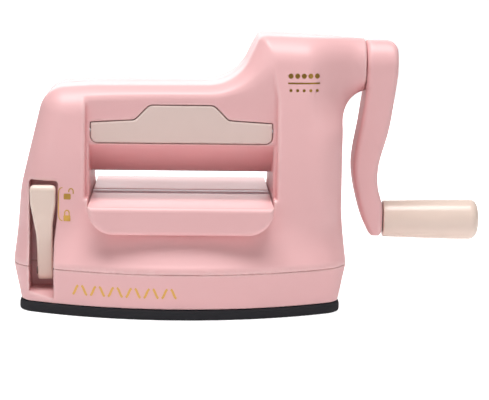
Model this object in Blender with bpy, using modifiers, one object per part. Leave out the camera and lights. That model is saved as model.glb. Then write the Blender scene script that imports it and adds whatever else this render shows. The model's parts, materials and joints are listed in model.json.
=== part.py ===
"""Hand-cranked die cutting machine with a suction base, built as an assembly of separate pieces.

Frame: the origin is on the table under the middle of the base. +X is the crank side, -Y is the
front, +Z is up. The rollers lie along X over the origin. All sizes are in metres.
"""
import math

import bmesh
import bpy
from mathutils import Matrix

for leftover in list(bpy.context.scene.objects):
    bpy.data.objects.remove(leftover, do_unlink=True)

MM = 0.001
GAP = 0.3 * MM              # between two pieces that touch
RUNNING = 0.3 * MM          # radial clearance of a shaft in its bore
REACH = 80.0 * MM           # how far a cutter runs past the body
WELD = 0.000002             # merge distance for curve caps
ARC_STEP = math.radians(22.5)
CIRCLE_TURN = math.radians(7.0)
ROUND = 24                  # segments of large turned pieces
FINE = 16                   # segments of shafts and bushes
SMALL = 10                  # segments of screws and pins

# feed passage
PLATE_WIDTH = 80.0 * MM     # widest plate that feeds through
PLATE_CLEARANCE = 1.5 * MM  # each side of the plate
ROLLER_GAP = 9.0 * MM       # stack of plates between the rollers
TRAY_TOP_Z = 50.5 * MM
TRAY_DEPTH = 12.5 * MM      # height of the tray's front face
TRAY_CORNER = 11.5 * MM
TRAY_REACH = 51.0 * MM      # front edge of the tray from the roller axis

# rollers
ROLLER_RADIUS = 9.0 * MM
ROLLER_CROWN = 0.6 * MM     # lower roller above the tray
ROLLER_END_GAP = 0.5 * MM
NECK_RADIUS = 5.0 * MM
GEAR_SEAT_RADIUS = 4.0 * MM
ROLLER_BAY_GAP = 0.6 * MM
BAY_STEP = 0.1 * MM         # roller bay wider than the passage, each side
CORE_STEP = 0.4 * MM        # between the faces of blocks that meet in the solid core

# body
SEAM_Z = 21.0 * MM
BODY_HALF_DEPTH = 54.0 * MM
SIDE_BAY = 34.5 * MM        # from the passage to the outside of the body
WALL = 2.4 * MM
CHEEK = 2.0 * MM            # housing wall beside the passage
RIB = 3.5 * MM              # from the passage to the back of the rib beside the recess
SHOULDER_RISE = 8.0 * MM    # low shoulder above the flap's tab
TOWER_RISE = 14.6 * MM      # tower top above the crank axis
TOWER_X = 36.0 * MM         # left edge of the tower
BOW = 13.6 * MM             # how far the front is bowed at BOW_X
BOW_X = 59.0 * MM
RECESS_EXTRA = 1.5 * MM     # recess wider than the passage, each side
RECESS_DEPTH = 23.7 * MM    # recess plane behind the foremost point of the body

# funnel over the feed opening
FUNNEL_RISE = 7.4 * MM      # top of the funnel above the upper roller's axis
FUNNEL_END = 7.2 * MM       # its lower edge in front of the axis
FUNNEL_WALL = 1.0 * MM
FUNNEL_LIP = 0.8 * MM

# flap
FLAP_SIDE_GAP = 0.7 * MM
FLAP_SIDE_HEIGHT = 9.9 * MM
FLAP_TAB_HEIGHT = 16.9 * MM
FLAP_THICKNESS = 3.0 * MM
FLAP_CORNER = 3.0 * MM
TAB_TOP_WIDTH = 29.0 * MM
TAB_FOOT_WIDTH = 42.0 * MM
FLAP_PIN_RISE = 5.6 * MM    # pin above the flap's lower edge
FLAP_PIN_RADIUS = 0.8 * MM
FLAP_PIN_REACH = 3.0 * MM   # pin inside the flap
FLAP_POCKET_GAP = 0.5 * MM
FLAP_SWING_GAP = 0.6 * MM   # behind the swinging lower edge

# steel frame
PLATE_THICKNESS = 2.0 * MM
PLATE_HALF_DEPTH = 17.0 * MM
PLATE_BEHIND_CHEEK = 0.5 * MM
FOOT_LENGTH = 10.0 * MM
BUSH_WALL = 1.7 * MM
FLANGE = 1.2 * MM
TIE_RADIUS = 3.0 * MM
TIE_NECK_RADIUS = 1.5 * MM
DECK_THICKNESS = 2.0 * MM
LOW_TIE_Z = 31.0 * MM
LOW_TIE_Y = 13.0 * MM

# gears
MESH_TEETH = 18
DRIVE_TEETH = 24
IDLER_TEETH = 11
PINION_TEETH = 10
PRESSURE_ANGLE = math.radians(20.0)
ADDENDUM = 0.8              # in modules
DEDENDUM = 1.1
BACKLASH = 0.25 * MM
FLANK_STEPS = 1
MESH_GEAR_WIDTH = 5.0 * MM
DRIVE_GEAR_WIDTH = 6.0 * MM
IDLER_AXLE_RADIUS = 2.5 * MM

# crank
CRANK_SHAFT_RADIUS = 4.0 * MM
HUB_RADIUS = 12.1 * MM
HUB_LENGTH = 14.6 * MM
NECK_REACH = 8.6 * MM       # neck beyond the side of the body
CRANK_THROW = 72.7 * MM
ARM_END_RADIUS = 8.9 * MM
ARM_WAIST = 5.1 * MM        # the arm bends this far towards the body
ARM_THICKNESS = 11.8 * MM
GRIP_RADIUS = 9.5 * MM
GRIP_ROOT_RADIUS = 8.65 * MM
GRIP_LENGTH = 44.7 * MM
GRIP_ROUNDING = 4.0 * MM
SPINDLE_RADIUS = 2.5 * MM

# lever and its slot
LEVER_X_FROM_SIDE = 14.3 * MM   # middle of the lever from the left side of the body
LEVER_WIDTH = 11.4 * MM
LEVER_FOOT_WIDTH = 7.0 * MM
LEVER_TIP_RADIUS = 2.5 * MM
LEVER_BOSS_RADIUS = 4.0 * MM
LEVER_TOP_Z = 58.3 * MM
LEVER_LEAN = math.radians(16.0)
LEVER_SIDE_GAP = 0.8 * MM
LEVER_TOP_GAP = 1.7 * MM
LEVER_PIVOT_Y = -26.0 * MM
LEVER_PIVOT_Z = 17.5 * MM
LEVER_TRAVEL = math.radians(70.0)
SLOT_WALL = 1.5 * MM
SLOT_BACK_GAP = 2.0 * MM
RAMP_TOP_Z = 14.0 * MM
RAMP_FOOT_Z = 8.6 * MM
LEVER_SHAFT_RADIUS = 1.75 * MM

# suction mechanism
CAM_OFFSET = 1.8 * MM
CAM_RADIUS = 4.7 * MM
CAM_WIDTH = 8.0 * MM
CUP_RADIUS = 34.0 * MM
CUP_BOSS_Z = 9.0 * MM
YOKE_THICKNESS = 2.5 * MM
YOKE_WIDTH = 10.0 * MM
GUIDE_RADIUS = 2.2 * MM
SPRING_RADIUS = 4.6 * MM
SPRING_WIRE = 0.5 * MM
SPRING_TURNS = 4
SPRING_POINTS = 9           # points in each turn

# base
RING_HEIGHT = 4.6 * MM
RING_SET_BACK = 2.6 * MM
BASE_SET_BACK = 4.0 * MM
BASE_FLOOR = 2.0 * MM
CUP_HOLE_GAP = 3.0 * MM
POST_RADIUS = 4.0 * MM

# screws
SCREW_RADIUS = 1.4 * MM
SCREW_HEAD_RADIUS = 2.6 * MM
SCREW_HEAD = 1.9 * MM
SCREW_HOLE_GAP = 0.3 * MM

# worked-out places
PASSAGE_HALF = PLATE_WIDTH / 2 + PLATE_CLEARANCE
TRAY_HALF = PASSAGE_HALF - GAP
ROLLER_HALF = PASSAGE_HALF - ROLLER_END_GAP
BODY_HALF_WIDTH = PASSAGE_HALF + SIDE_BAY
CHEEK_OUTER = PASSAGE_HALF + CHEEK
RIB_OUTER = PASSAGE_HALF + RIB
LOWER_AXIS_Z = TRAY_TOP_Z + ROLLER_CROWN - ROLLER_RADIUS
UPPER_AXIS_Z = LOWER_AXIS_Z + 2 * ROLLER_RADIUS + ROLLER_GAP
MODULE = (UPPER_AXIS_Z - LOWER_AXIS_Z) / MESH_TEETH
IDLER_Z = UPPER_AXIS_Z + MODULE * (DRIVE_TEETH + IDLER_TEETH) / 2
CRANK_Z = IDLER_Z + MODULE * (IDLER_TEETH + PINION_TEETH) / 2
PLATE_INNER = CHEEK_OUTER + PLATE_BEHIND_CHEEK
PLATE_OUTER = PLATE_INNER + PLATE_THICKNESS
FLANGE_OUTER = PLATE_OUTER + GAP + FLANGE
GEAR_INNER = FLANGE_OUTER + GAP
DRIVE_GEAR_OUTER = GEAR_INNER + DRIVE_GEAR_WIDTH
MESH_GEAR_OUTER = GEAR_INNER + MESH_GEAR_WIDTH
FUNNEL_TOP_Z = UPPER_AXIS_Z + FUNNEL_RISE
RECESS_Y = -(BODY_HALF_DEPTH - RECESS_DEPTH)
FLAP_BOTTOM_Z = FUNNEL_TOP_Z + GAP
FLAP_PIN_Z = FLAP_BOTTOM_Z + FLAP_PIN_RISE
FLAP_PIN_Y = RECESS_Y + FLAP_THICKNESS / 2
FLAP_TOP_Z = FLAP_BOTTOM_Z + FLAP_TAB_HEIGHT
FLAP_HALF = PASSAGE_HALF - FLAP_SIDE_GAP
POCKET_BACK_Y = FLAP_PIN_Y + math.hypot(FLAP_PIN_RISE, FLAP_THICKNESS / 2) + FLAP_SWING_GAP
SHOULDER_Z = FLAP_TOP_Z + SHOULDER_RISE
TOWER_TOP_Z = CRANK_Z + TOWER_RISE
NECK_END_X = BODY_HALF_WIDTH + NECK_REACH
HUB_X = NECK_END_X + GAP
GRIP_Z = CRANK_Z - CRANK_THROW
GRIP_X = HUB_X + HUB_LENGTH - ARM_WAIST
DECK_Z = SEAM_Z + GAP
FOOT_Z = DECK_Z + DECK_THICKNESS + GAP
LEVER_X = -(BODY_HALF_WIDTH - LEVER_X_FROM_SIDE)
SLOT_HALF = LEVER_WIDTH / 2 + LEVER_SIDE_GAP
SLOT_TOP_Z = LEVER_TOP_Z + LEVER_TOP_GAP
SLOT_BACK_Y = LEVER_PIVOT_Y + LEVER_BOSS_RADIUS + SLOT_BACK_GAP
BUSH_BORE = NECK_RADIUS + RUNNING
BUSH_RADIUS = BUSH_BORE + BUSH_WALL
RING_HOLE = CUP_RADIUS + CUP_HOLE_GAP + 1.0 * MM
BASE_BOTTOM_Z = RING_HEIGHT + GAP
BASE_TOP_Z = SEAM_Z - GAP
DECK_SCREWS = [(sx * (PLATE_OUTER + 6.0 * MM), sy * 12.0 * MM) for sx in (-1, 1) for sy in (-1, 1)]
HOUSING_SCREWS = [(-BODY_HALF_WIDTH + 17.0 * MM, SHOULDER_Z - 16.0 * MM),
                  (-BODY_HALF_WIDTH + 14.0 * MM, SEAM_Z + 14.0 * MM),
                  (BODY_HALF_WIDTH - 12.0 * MM, SEAM_Z + 14.0 * MM),
                  (BODY_HALF_WIDTH - 12.0 * MM, CRANK_Z - 15.5 * MM)]
SCREW_END_Y = -12.0 * MM
SCREW_SEAT_Y = 20.0 * MM

# how the local axes of a flat outline (u, v, thickness) lie in the world, by the axis it is square to
OUTLINE_FRAMES = {
    "X": Matrix(((0, 0, 1), (1, 0, 0), (0, 1, 0))),
    "Y": Matrix(((1, 0, 0), (0, 0, -1), (0, 1, 0))),
    "Z": Matrix(((1, 0, 0), (0, 1, 0), (0, 0, 1))),
}
TURN_ANGLES = {"X": (0.0, math.pi / 2, 0.0), "Y": (-math.pi / 2, 0.0, 0.0), "Z": (0.0, 0.0, 0.0)}


def new_collection(name):
    """Make a collection in the scene."""
    collection = bpy.data.collections.new(name)
    bpy.context.scene.collection.children.link(collection)
    return collection


PARTS = new_collection("die_cutting_machine")
CUTTERS = new_collection("cutters")


def finish(name, colour, roughness, metallic=0.0):
    """Make a Principled material."""
    made = bpy.data.materials.new(name)
    made.use_nodes = True
    shader = made.node_tree.nodes["Principled BSDF"]
    shader.inputs["Base Color"].default_value = (*colour, 1.0)
    shader.inputs["Roughness"].default_value = roughness
    shader.inputs["Metallic"].default_value = metallic
    return made


BLUSH = finish("blush_shell", (0.74, 0.45, 0.45), 0.35)
CREAM = finish("cream_plastic", (0.80, 0.62, 0.53), 0.35)
BLACK = finish("black_rubber", (0.012, 0.012, 0.014), 0.7)
CLEAR_RUBBER = finish("cup_rubber", (0.10, 0.10, 0.11), 0.6)
STEEL = finish("bright_steel", (0.62, 0.62, 0.63), 0.28, 1.0)
PLATE_STEEL = finish("zinc_plate", (0.48, 0.49, 0.50), 0.45, 1.0)
BRONZE = finish("bush_bronze", (0.50, 0.33, 0.16), 0.40, 1.0)
ACETAL = finish("gear_acetal", (0.75, 0.74, 0.70), 0.45)


# ---- outlines: lists of (u, v) points, anticlockwise ----

def arc(centre, radius, start, end, steps):
    """Points on an arc, both ends included."""
    turns = [start + (end - start) * step / steps for step in range(steps + 1)]
    return [(centre[0] + radius * math.cos(a), centre[1] + radius * math.sin(a)) for a in turns]


def circle(radius, centre=(0.0, 0.0), steps=FINE):
    """A full circle without its last, repeated point; turned a little, so that no side is level."""
    return arc(centre, radius, CIRCLE_TURN, CIRCLE_TURN + 2 * math.pi, steps)[:-1]


def fillet(before, corner, after, radius):
    """Arc that rounds one corner; limited so that two neighbours never meet."""
    to_before = (before[0] - corner[0], before[1] - corner[1])
    to_after = (after[0] - corner[0], after[1] - corner[1])
    len_before, len_after = math.hypot(*to_before), math.hypot(*to_after)
    cosine = (to_before[0] * to_after[0] + to_before[1] * to_after[1]) / (len_before * len_after)
    half = math.acos(max(-1.0, min(1.0, cosine))) / 2
    if radius <= 0 or half > math.pi / 2 - 0.001:
        return [corner]
    tangent = min(radius / math.tan(half), 0.49 * len_before, 0.49 * len_after)
    radius = tangent * math.tan(half)
    start = [corner[i] + to_before[i] / len_before * tangent for i in (0, 1)]
    end = [corner[i] + to_after[i] / len_after * tangent for i in (0, 1)]
    bisector = [to_before[i] / len_before + to_after[i] / len_after for i in (0, 1)]
    reach = math.hypot(radius, tangent) / math.hypot(*bisector)
    centre = [corner[i] + bisector[i] * reach for i in (0, 1)]
    first = math.atan2(start[1] - centre[1], start[0] - centre[0])
    sweep = math.atan2(end[1] - centre[1], end[0] - centre[0]) - first
    sweep = (sweep + math.pi) % (2 * math.pi) - math.pi
    steps = max(1, math.ceil(abs(sweep) / ARC_STEP))
    return arc(centre, radius, first, first + sweep, steps)


def rounded(corners):
    """Outline of (u, v, radius) corners, each rounded by its own radius."""
    outline = []
    for index, (u, v, radius) in enumerate(corners):
        before, after = corners[index - 1], corners[(index + 1) % len(corners)]
        outline += fillet(before[:2], (u, v), after[:2], radius)
    return outline


def inset(corners, distance):
    """The same (u, v, radius) corners with every edge moved inwards by a distance."""
    moved = []
    for index, (u, v, radius) in enumerate(corners):
        before, after = corners[index - 1], corners[(index + 1) % len(corners)]
        in_dir = unit(u - before[0], v - before[1])
        out_dir = unit(after[0] - u, after[1] - v)
        turn = in_dir[0] * out_dir[1] - in_dir[1] * out_dir[0]
        share = distance / (1 + in_dir[0] * out_dir[0] + in_dir[1] * out_dir[1])
        new_u = u - share * (in_dir[1] + out_dir[1])
        new_v = v + share * (in_dir[0] + out_dir[0])
        new_radius = radius - distance if turn > 0 else radius + distance
        moved.append((new_u, new_v, max(new_radius, 0.0) if radius > 0 else 0.0))
    return moved


def unit(u, v):
    """A direction of length one."""
    length = math.hypot(u, v)
    return u / length, v / length


def rectangle(low_u, high_u, low_v, high_v, radius=0.0):
    """Rectangle with equal corner rounding."""
    return rounded([(low_u, low_v, radius), (high_u, low_v, radius),
                    (high_u, high_v, radius), (low_u, high_v, radius)])


def two_circle_outline(low, low_radius, high, high_radius, steps=10):
    """Outline of a bar with a round end about each of two points, the second above the first."""
    length = math.hypot(high[0] - low[0], high[1] - low[1])
    along = math.atan2(high[1] - low[1], high[0] - low[0])
    side = math.acos((low_radius - high_radius) / length)
    top = arc(high, high_radius, along - side, along + side, steps)
    bottom = arc(low, low_radius, along + side, along - side + 2 * math.pi, steps)
    return top + bottom


def smooth_edge(points, steps=4):
    """Catmull-Rom curve through a few points."""
    padded = [points[0], *points, points[-1]]
    curve = [points[0]]
    for p0, p1, p2, p3 in zip(padded, padded[1:], padded[2:], padded[3:]):
        for step in range(1, steps + 1):
            t = step / steps
            curve.append(tuple(
                0.5 * (2 * b + (c - a) * t + (2 * a - 5 * b + 4 * c - d) * t * t
                       + (3 * b - a - 3 * c + d) * t ** 3)
                for a, b, c, d in zip(p0, p1, p2, p3)))
    return curve


def gear_outline(teeth, centre, tooth_angle):
    """Involute gear with one tooth centred on tooth_angle."""
    pitch = MODULE * teeth / 2
    base = pitch * math.cos(PRESSURE_ANGLE)
    tip = pitch + ADDENDUM * MODULE
    root = pitch - DEDENDUM * MODULE

    def involute(radius):
        angle = math.acos(min(1.0, base / radius))
        return math.tan(angle) - angle

    half = math.pi / (2 * teeth) - BACKLASH / (2 * pitch) + involute(pitch)
    foot = max(base, root)
    radii = [foot + (tip - foot) * step / FLANK_STEPS for step in range(FLANK_STEPS + 1)]
    flank = [(radius, half - involute(radius)) for radius in radii]
    flank = [(root, flank[0][1])] + flank if root < base else flank
    tooth = [(radius, -angle) for radius, angle in flank] + list(reversed(flank))
    outline = []
    for number in range(teeth):
        middle = tooth_angle + 2 * math.pi * number / teeth
        outline += [(centre[0] + radius * math.cos(middle + angle),
                     centre[1] + radius * math.sin(middle + angle)) for radius, angle in tooth]
    return outline


# ---- solids ----

def place(made, material, collection):
    """Put an object in its collection with its material."""
    collection.objects.link(made)
    if material is not None:
        made.data.materials.clear()
        made.data.materials.append(material)
    if collection is CUTTERS:
        made.hide_render = True
        made.display_type = "WIRE"
    return made


def solid_from(shape, name):
    """Turn an evaluated object into a mesh object of its own and remove the old one."""
    bpy.context.view_layer.update()
    evaluated = shape.evaluated_get(bpy.context.evaluated_depsgraph_get())
    mesh = bpy.data.meshes.new_from_object(evaluated)
    matrix = shape.matrix_world.copy()
    bpy.data.objects.remove(shape, do_unlink=True)
    build = bmesh.new()
    build.from_mesh(mesh)
    bmesh.ops.remove_doubles(build, verts=build.verts, dist=WELD)
    bmesh.ops.recalc_face_normals(build, faces=build.faces)
    build.to_mesh(mesh)
    build.free()
    made = bpy.data.objects.new(name, mesh)
    made.matrix_world = matrix
    return made


def prism(name, axis, outlines, low, high, material=None, collection=CUTTERS):
    """Flat outline with its holes, made thick between two places along an axis."""
    curve = bpy.data.curves.new(name + "_outline", "CURVE")
    curve.dimensions = "2D"
    curve.fill_mode = "BOTH"
    curve.extrude = (high - low) / 2
    for outline in outlines:
        spline = curve.splines.new("POLY")
        spline.points.add(len(outline) - 1)
        for point, (u, v) in zip(spline.points, outline):
            point.co = (u, v, 0.0, 1.0)
        spline.use_cyclic_u = True
    drawn = bpy.data.objects.new(name + "_drawn", curve)
    CUTTERS.objects.link(drawn)
    frame = OUTLINE_FRAMES[axis].to_4x4()
    middle = frame @ Matrix.Translation((0.0, 0.0, (low + high) / 2 * (-1 if axis == "Y" else 1)))
    drawn.matrix_world = middle
    return shade(place(solid_from(drawn, name), material, collection))


def block(name, low, high, material=None, collection=CUTTERS):
    """Box between two corners, from a cube primitive."""
    build = bmesh.new()
    bmesh.ops.create_cube(build, size=1.0)
    size = [h - l for l, h in zip(low, high)]
    bmesh.ops.scale(build, vec=size, verts=build.verts)
    mesh = bpy.data.meshes.new(name)
    build.to_mesh(mesh)
    build.free()
    made = bpy.data.objects.new(name, mesh)
    made.location = [(h + l) / 2 for l, h in zip(low, high)]
    return place(made, material, collection)


def turned(name, axis, centre, profile, steps, material=None, collection=PARTS, closed=False):
    """Profile of (radius, along) points turned about an axis; along is the world coordinate."""
    mesh = bpy.data.meshes.new(name)
    edges = [(i, i + 1) for i in range(len(profile) - 1)]
    if closed:
        edges.append((len(profile) - 1, 0))
    mesh.from_pydata([(radius, 0.0, along) for radius, along in profile], edges, [])
    made = bpy.data.objects.new(name, mesh)
    made.location = centre
    made.rotation_euler = TURN_ANGLES[axis]
    screw = made.modifiers.new("turn", "SCREW")
    screw.steps = steps
    screw.render_steps = steps
    screw.use_merge_vertices = True
    screw.merge_threshold = 0.00001
    screw.use_smooth_shade = False
    return place(made, material, collection)


def rod(name, axis, centre, radius, low, high, material=None, collection=CUTTERS, steps=FINE):
    """Plain round bar."""
    profile = [(0.0, high), (radius, high), (radius, low), (0.0, low)]
    return turned(name, axis, centre, profile, steps, material, collection)


def shade(made):
    """Smooth shading with sharp edges kept."""
    made.data.shade_smooth()
    made.data.set_sharp_from_angle(angle=math.radians(35.0))
    return made


def combine(target, operation, *tools):
    """Add one Boolean modifier for each tool."""
    for tool in tools:
        step = target.modifiers.new(tool.name, "BOOLEAN")
        step.operation = operation
        step.solver = "EXACT"
        step.object = tool
    return target


def cut(target, *tools):
    """Take tools away from a target."""
    return combine(target, "DIFFERENCE", *tools)


def join(target, *tools):
    """Unite tools with a target."""
    return combine(target, "UNION", *tools)


def keep_inside(target, *tools):
    """Keep only what a target shares with each tool."""
    return combine(target, "INTERSECT", *tools)


def baked(target, name, material=None, collection=CUTTERS):
    """Work out a target's modifiers now, as a new object."""
    return shade(place(solid_from(target, name), material, collection))


def pivot(name, location, *pieces):
    """Empty on a joint's axis that carries the pieces that turn or slide about it."""
    empty = bpy.data.objects.new(name, None)
    empty.location = location
    PARTS.objects.link(empty)
    bpy.context.view_layer.update()
    for piece in pieces:
        piece.parent = empty
        piece.matrix_parent_inverse = empty.matrix_world.inverted()
    return empty


def mirrored(profile):
    """A turned profile reflected in the plane where along is zero."""
    return [(radius, -along) for radius, along in reversed(profile)]


# ---- body ----

def front_corners(bottom):
    """Corners of the body seen from the front: low left shoulder, tower on the right."""
    side, shoulder = BODY_HALF_WIDTH, SHOULDER_Z
    return [(-side, bottom, 0.0), (side, bottom, 0.0),
            (side - 0.8 * MM, TRAY_TOP_Z + 25.0 * MM, 60 * MM),
            (side, TOWER_TOP_Z - 1.8 * MM, 6 * MM),
            (TOWER_X, TOWER_TOP_Z, 4 * MM),
            (TOWER_X - 11.2 * MM, shoulder + 1.0 * MM, 24 * MM),
            (-side + 36.0 * MM, shoulder, 60 * MM),
            (-side + 14.2 * MM, shoulder - 2.2 * MM, 6 * MM),
            (-side + 3.6 * MM, TRAY_TOP_Z + 6.0 * MM, 60 * MM)]


def side_corners(bottom, top, top_depth, rounding):
    """Corners of the body seen from the side, with a flared skirt at the seam."""
    half = [(BODY_HALF_DEPTH, bottom, 0.0),
            (BODY_HALF_DEPTH - 0.8 * MM, SEAM_Z + 3.6 * MM, 2 * MM),
            (BODY_HALF_DEPTH - 9.0 * MM, SEAM_Z + 18.0 * MM, 14 * MM),
            (BODY_HALF_DEPTH - 14.0 * MM, TRAY_TOP_Z + 3.0 * MM, 40 * MM),
            (top_depth, top, rounding)]
    return half + [(-y, z, radius) for y, z, radius in reversed(half)]


def plan_corners():
    """Corners of the body seen from above: bowed front and back, rounded corners."""
    radius = (BOW_X ** 2 + BOW ** 2) / (2 * BOW)
    stations = [BODY_HALF_WIDTH * share for share in (-0.72, -0.54, -0.36, -0.18, 0, 0.18, 0.36, 0.54, 0.72)]

    def front(x):
        return -BODY_HALF_DEPTH + radius - math.sqrt(radius ** 2 - x ** 2)

    edge = BODY_HALF_WIDTH
    line = [(-edge, front(edge), 17 * MM)] + [(x, front(x), 0.0) for x in stations]
    line.append((edge, front(edge), 17 * MM))
    return line + [(-x, -y, rounding) for x, y, rounding in line]


def body_solid(name, distance, bottom):
    """The outer form of the upper shell, or the same form moved inwards."""
    shape = prism(name, "Y", [rounded(inset(front_corners(bottom), distance))], -REACH, REACH)
    plan = prism(name + "_plan", "Z", [rounded(inset(plan_corners(), distance))], bottom - MM, 2 * REACH)
    low = side_corners(bottom, SHOULDER_Z + 1.0 * MM, BODY_HALF_DEPTH - 22.0 * MM, 9 * MM)
    high = side_corners(bottom, TOWER_TOP_Z, BODY_HALF_DEPTH - 26.5 * MM, 15 * MM)
    foot_x = TOWER_X - 24.0 * MM
    side = prism(name + "_low_side", "X", [rounded(inset(low, distance))], -2 * REACH, foot_x)
    tower = prism(name + "_high_side", "X", [rounded(inset(high, distance))], foot_x, 2 * REACH)
    keep_inside(shape, plan)
    whole = join(side, tower)
    return baked(keep_inside(shape, whole), name + "_form")


def kept_core():
    """Solid blocks that stay when the shell is hollowed: passage, pocket, slot and screw posts."""
    roof = UPPER_AXIS_Z + ROLLER_RADIUS + ROLLER_BAY_GAP + 1.6 * MM
    floor = TRAY_TOP_Z - 3.0 * MM
    pocket_back = POCKET_BACK_Y + 2.0 * MM
    blocks = [block("core_passage", (-CHEEK_OUTER, -REACH, floor), (CHEEK_OUTER, REACH, roof)),
              block("core_flap", (CORE_STEP - CHEEK_OUTER, -REACH, floor + CORE_STEP),
                    (CHEEK_OUTER - CORE_STEP, pocket_back, FLAP_TOP_Z + 2.6 * MM)),
              block("core_slot", (LEVER_X - SLOT_HALF - SLOT_WALL, -REACH, 0.0),
                    (LEVER_X + SLOT_HALF + SLOT_WALL, SLOT_BACK_Y + SLOT_WALL, SLOT_TOP_Z + SLOT_WALL))]
    for sign in (-1, 1):
        near, far = sorted((sign * (BODY_HALF_DEPTH - 30.0 * MM), sign * REACH))
        blocks.append(block("core_rib", (-RIB_OUTER, near, floor - CORE_STEP),
                            (RIB_OUTER, far, FLAP_TOP_Z + 7.0 * MM)))
    for number, (x, z) in enumerate(HOUSING_SCREWS):
        blocks.append(rod(f"core_post_{number}", "Y", (x, 0, z), POST_RADIUS, -REACH, REACH, steps=SMALL))
    return blocks


def passage_cutters():
    """Feed passage with a funnel on both sides, roller bay, neck holes, tray openings, recesses."""
    bay = ROLLER_RADIUS + ROLLER_BAY_GAP
    bay_half = PASSAGE_HALF + BAY_STEP
    lip_z = FUNNEL_TOP_Z - FUNNEL_LIP
    end_z = UPPER_AXIS_Z - math.sqrt((bay + FUNNEL_WALL) ** 2 - FUNNEL_END ** 2)
    half = [(REACH, TRAY_TOP_Z - 0.5 * MM), (REACH, lip_z), (-RECESS_Y, lip_z), (FUNNEL_END, end_z)]
    passage = half + [(-y, z) for y, z in reversed(half)]
    tray_hole = rounded(inset(tray_corners(TRAY_TOP_Z + 1.0 * MM), -GAP))
    tools = [prism("cut_passage", "X", [passage], -PASSAGE_HALF, PASSAGE_HALF),
             prism("cut_tray_hole", "Y", [tray_hole], -REACH, REACH),
             rod("cut_roller_bay", "X", (0, 0, UPPER_AXIS_Z), bay, -bay_half, bay_half, steps=ROUND)]
    for name, z in (("upper", UPPER_AXIS_Z), ("lower", LOWER_AXIS_Z)):
        tools.append(rod(f"cut_{name}_neck", "X", (0, 0, z), NECK_RADIUS + 0.6 * MM,
                         -RIB_OUTER, RIB_OUTER))
    wide = PASSAGE_HALF + RECESS_EXTRA
    for sign in (-1, 1):
        near, far = sorted((-sign * RECESS_Y, sign * REACH))
        tools.append(block("cut_recess", (-wide, near, TRAY_TOP_Z + 2.0 * MM),
                           (wide, far, FLAP_TOP_Z + 5.0 * MM)))
    return tools


def flap_corners():
    """Corners of the flap: a wide bar with a raised tab in the middle."""
    side_z = FLAP_BOTTOM_Z + FLAP_SIDE_HEIGHT
    foot, top = TAB_FOOT_WIDTH / 2, TAB_TOP_WIDTH / 2
    return [(-FLAP_HALF, FLAP_BOTTOM_Z, FLAP_CORNER), (FLAP_HALF, FLAP_BOTTOM_Z, FLAP_CORNER),
            (FLAP_HALF, side_z, 0.8 * MM), (foot, side_z, 3 * MM), (top, FLAP_TOP_Z, 4 * MM),
            (-top, FLAP_TOP_Z, 4 * MM), (-foot, side_z, 3 * MM), (-FLAP_HALF, side_z, 0.8 * MM)]


def front_cutters():
    """Flap pocket, pin holes and the upper part of the lever slot."""
    grown = inset(flap_corners(), -FLAP_POCKET_GAP)
    side = PASSAGE_HALF
    pocket = [(max(-side, min(side, u)), max(FUNNEL_TOP_Z, v), radius) for u, v, radius in grown]
    pocket[0] = (-side, FUNNEL_TOP_Z, 0.0)
    pocket[1] = (side, FUNNEL_TOP_Z, 0.0)
    reach = CHEEK_OUTER + 0.2 * MM
    slot = rectangle(LEVER_X - SLOT_HALF, LEVER_X + SLOT_HALF, 0.0, SLOT_TOP_Z, 1.6 * MM)
    return [prism("cut_flap_pocket", "Y", [rounded(pocket)], -REACH, POCKET_BACK_Y),
            rod("cut_flap_pins", "X", (0, FLAP_PIN_Y, FLAP_PIN_Z), FLAP_PIN_RADIUS + RUNNING, -reach, reach,
                steps=SMALL),
            prism("cut_lever_slot", "Y", [slot], -REACH, SLOT_BACK_Y)]


def screw_cutters():
    """Stepped holes of the housing screws, each with its head well, from the back."""
    hole, well = SCREW_RADIUS + SCREW_HOLE_GAP, SCREW_HEAD_RADIUS + SCREW_HOLE_GAP
    profile = [(0, REACH), (well, REACH), (well, SCREW_SEAT_Y), (hole, SCREW_SEAT_Y),
               (hole, SCREW_END_Y), (0, SCREW_END_Y)]
    return [turned(f"cut_screw_{number}", "Y", (x, 0, z), profile, SMALL, collection=CUTTERS)
            for number, (x, z) in enumerate(HOUSING_SCREWS)]


def neck_solid():
    """Round neck that carries the crank."""
    centre = (0, 0, CRANK_Z)
    return rod("neck", "X", centre, HUB_RADIUS, BODY_HALF_WIDTH - WALL - 6.0 * MM, NECK_END_X, steps=ROUND)


def housings():
    """Upper shell, hollowed and parted at the roller plane into front and rear halves."""
    shell = body_solid("outer", 0.0, SEAM_Z)
    hollow = body_solid("inner", WALL, SEAM_Z - 10.0 * MM)
    join(shell, neck_solid())
    cut(hollow, *kept_core(), neck_solid())
    cut(shell, hollow)
    cut(shell, *passage_cutters())
    cut(shell, rod("cut_crank_neck", "X", (0, 0, CRANK_Z), CRANK_SHAFT_RADIUS + RUNNING + 2 * MM + GAP,
                   FLANGE_OUTER, 2 * REACH))
    shell = baked(shell, "shell")
    halves = []
    for name, low, high in (("front_housing", -2 * REACH, -GAP / 2), ("rear_housing", GAP / 2, 2 * REACH)):
        half = block(name, (-2 * REACH, low, -REACH), (2 * REACH, high, 2 * REACH), BLUSH, PARTS)
        keep_inside(half, shell)
        halves.append(half)
    front, rear = halves
    cut(front, *front_cutters(), *screw_cutters())
    cut(rear, *screw_cutters())
    return front, rear


# ---- base ----

def tapered(name, top_corners, bottom_corners, low, high, material=None, collection=CUTTERS):
    """Loft between two outlines with the same number of corners, one above the other."""
    mesh = bpy.data.meshes.new(name)
    top, bottom = rounded(top_corners), rounded(bottom_corners)
    count = len(top)
    points = [(u, v, low) for u, v in bottom] + [(u, v, high) for u, v in top]
    faces = [tuple(reversed(range(count))), tuple(range(count, 2 * count))]
    faces += [(i, (i + 1) % count, count + (i + 1) % count, count + i) for i in range(count)]
    mesh.from_pydata(points, [], faces)
    made = bpy.data.objects.new(name, mesh)
    return shade(place(made, material, collection))


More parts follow.
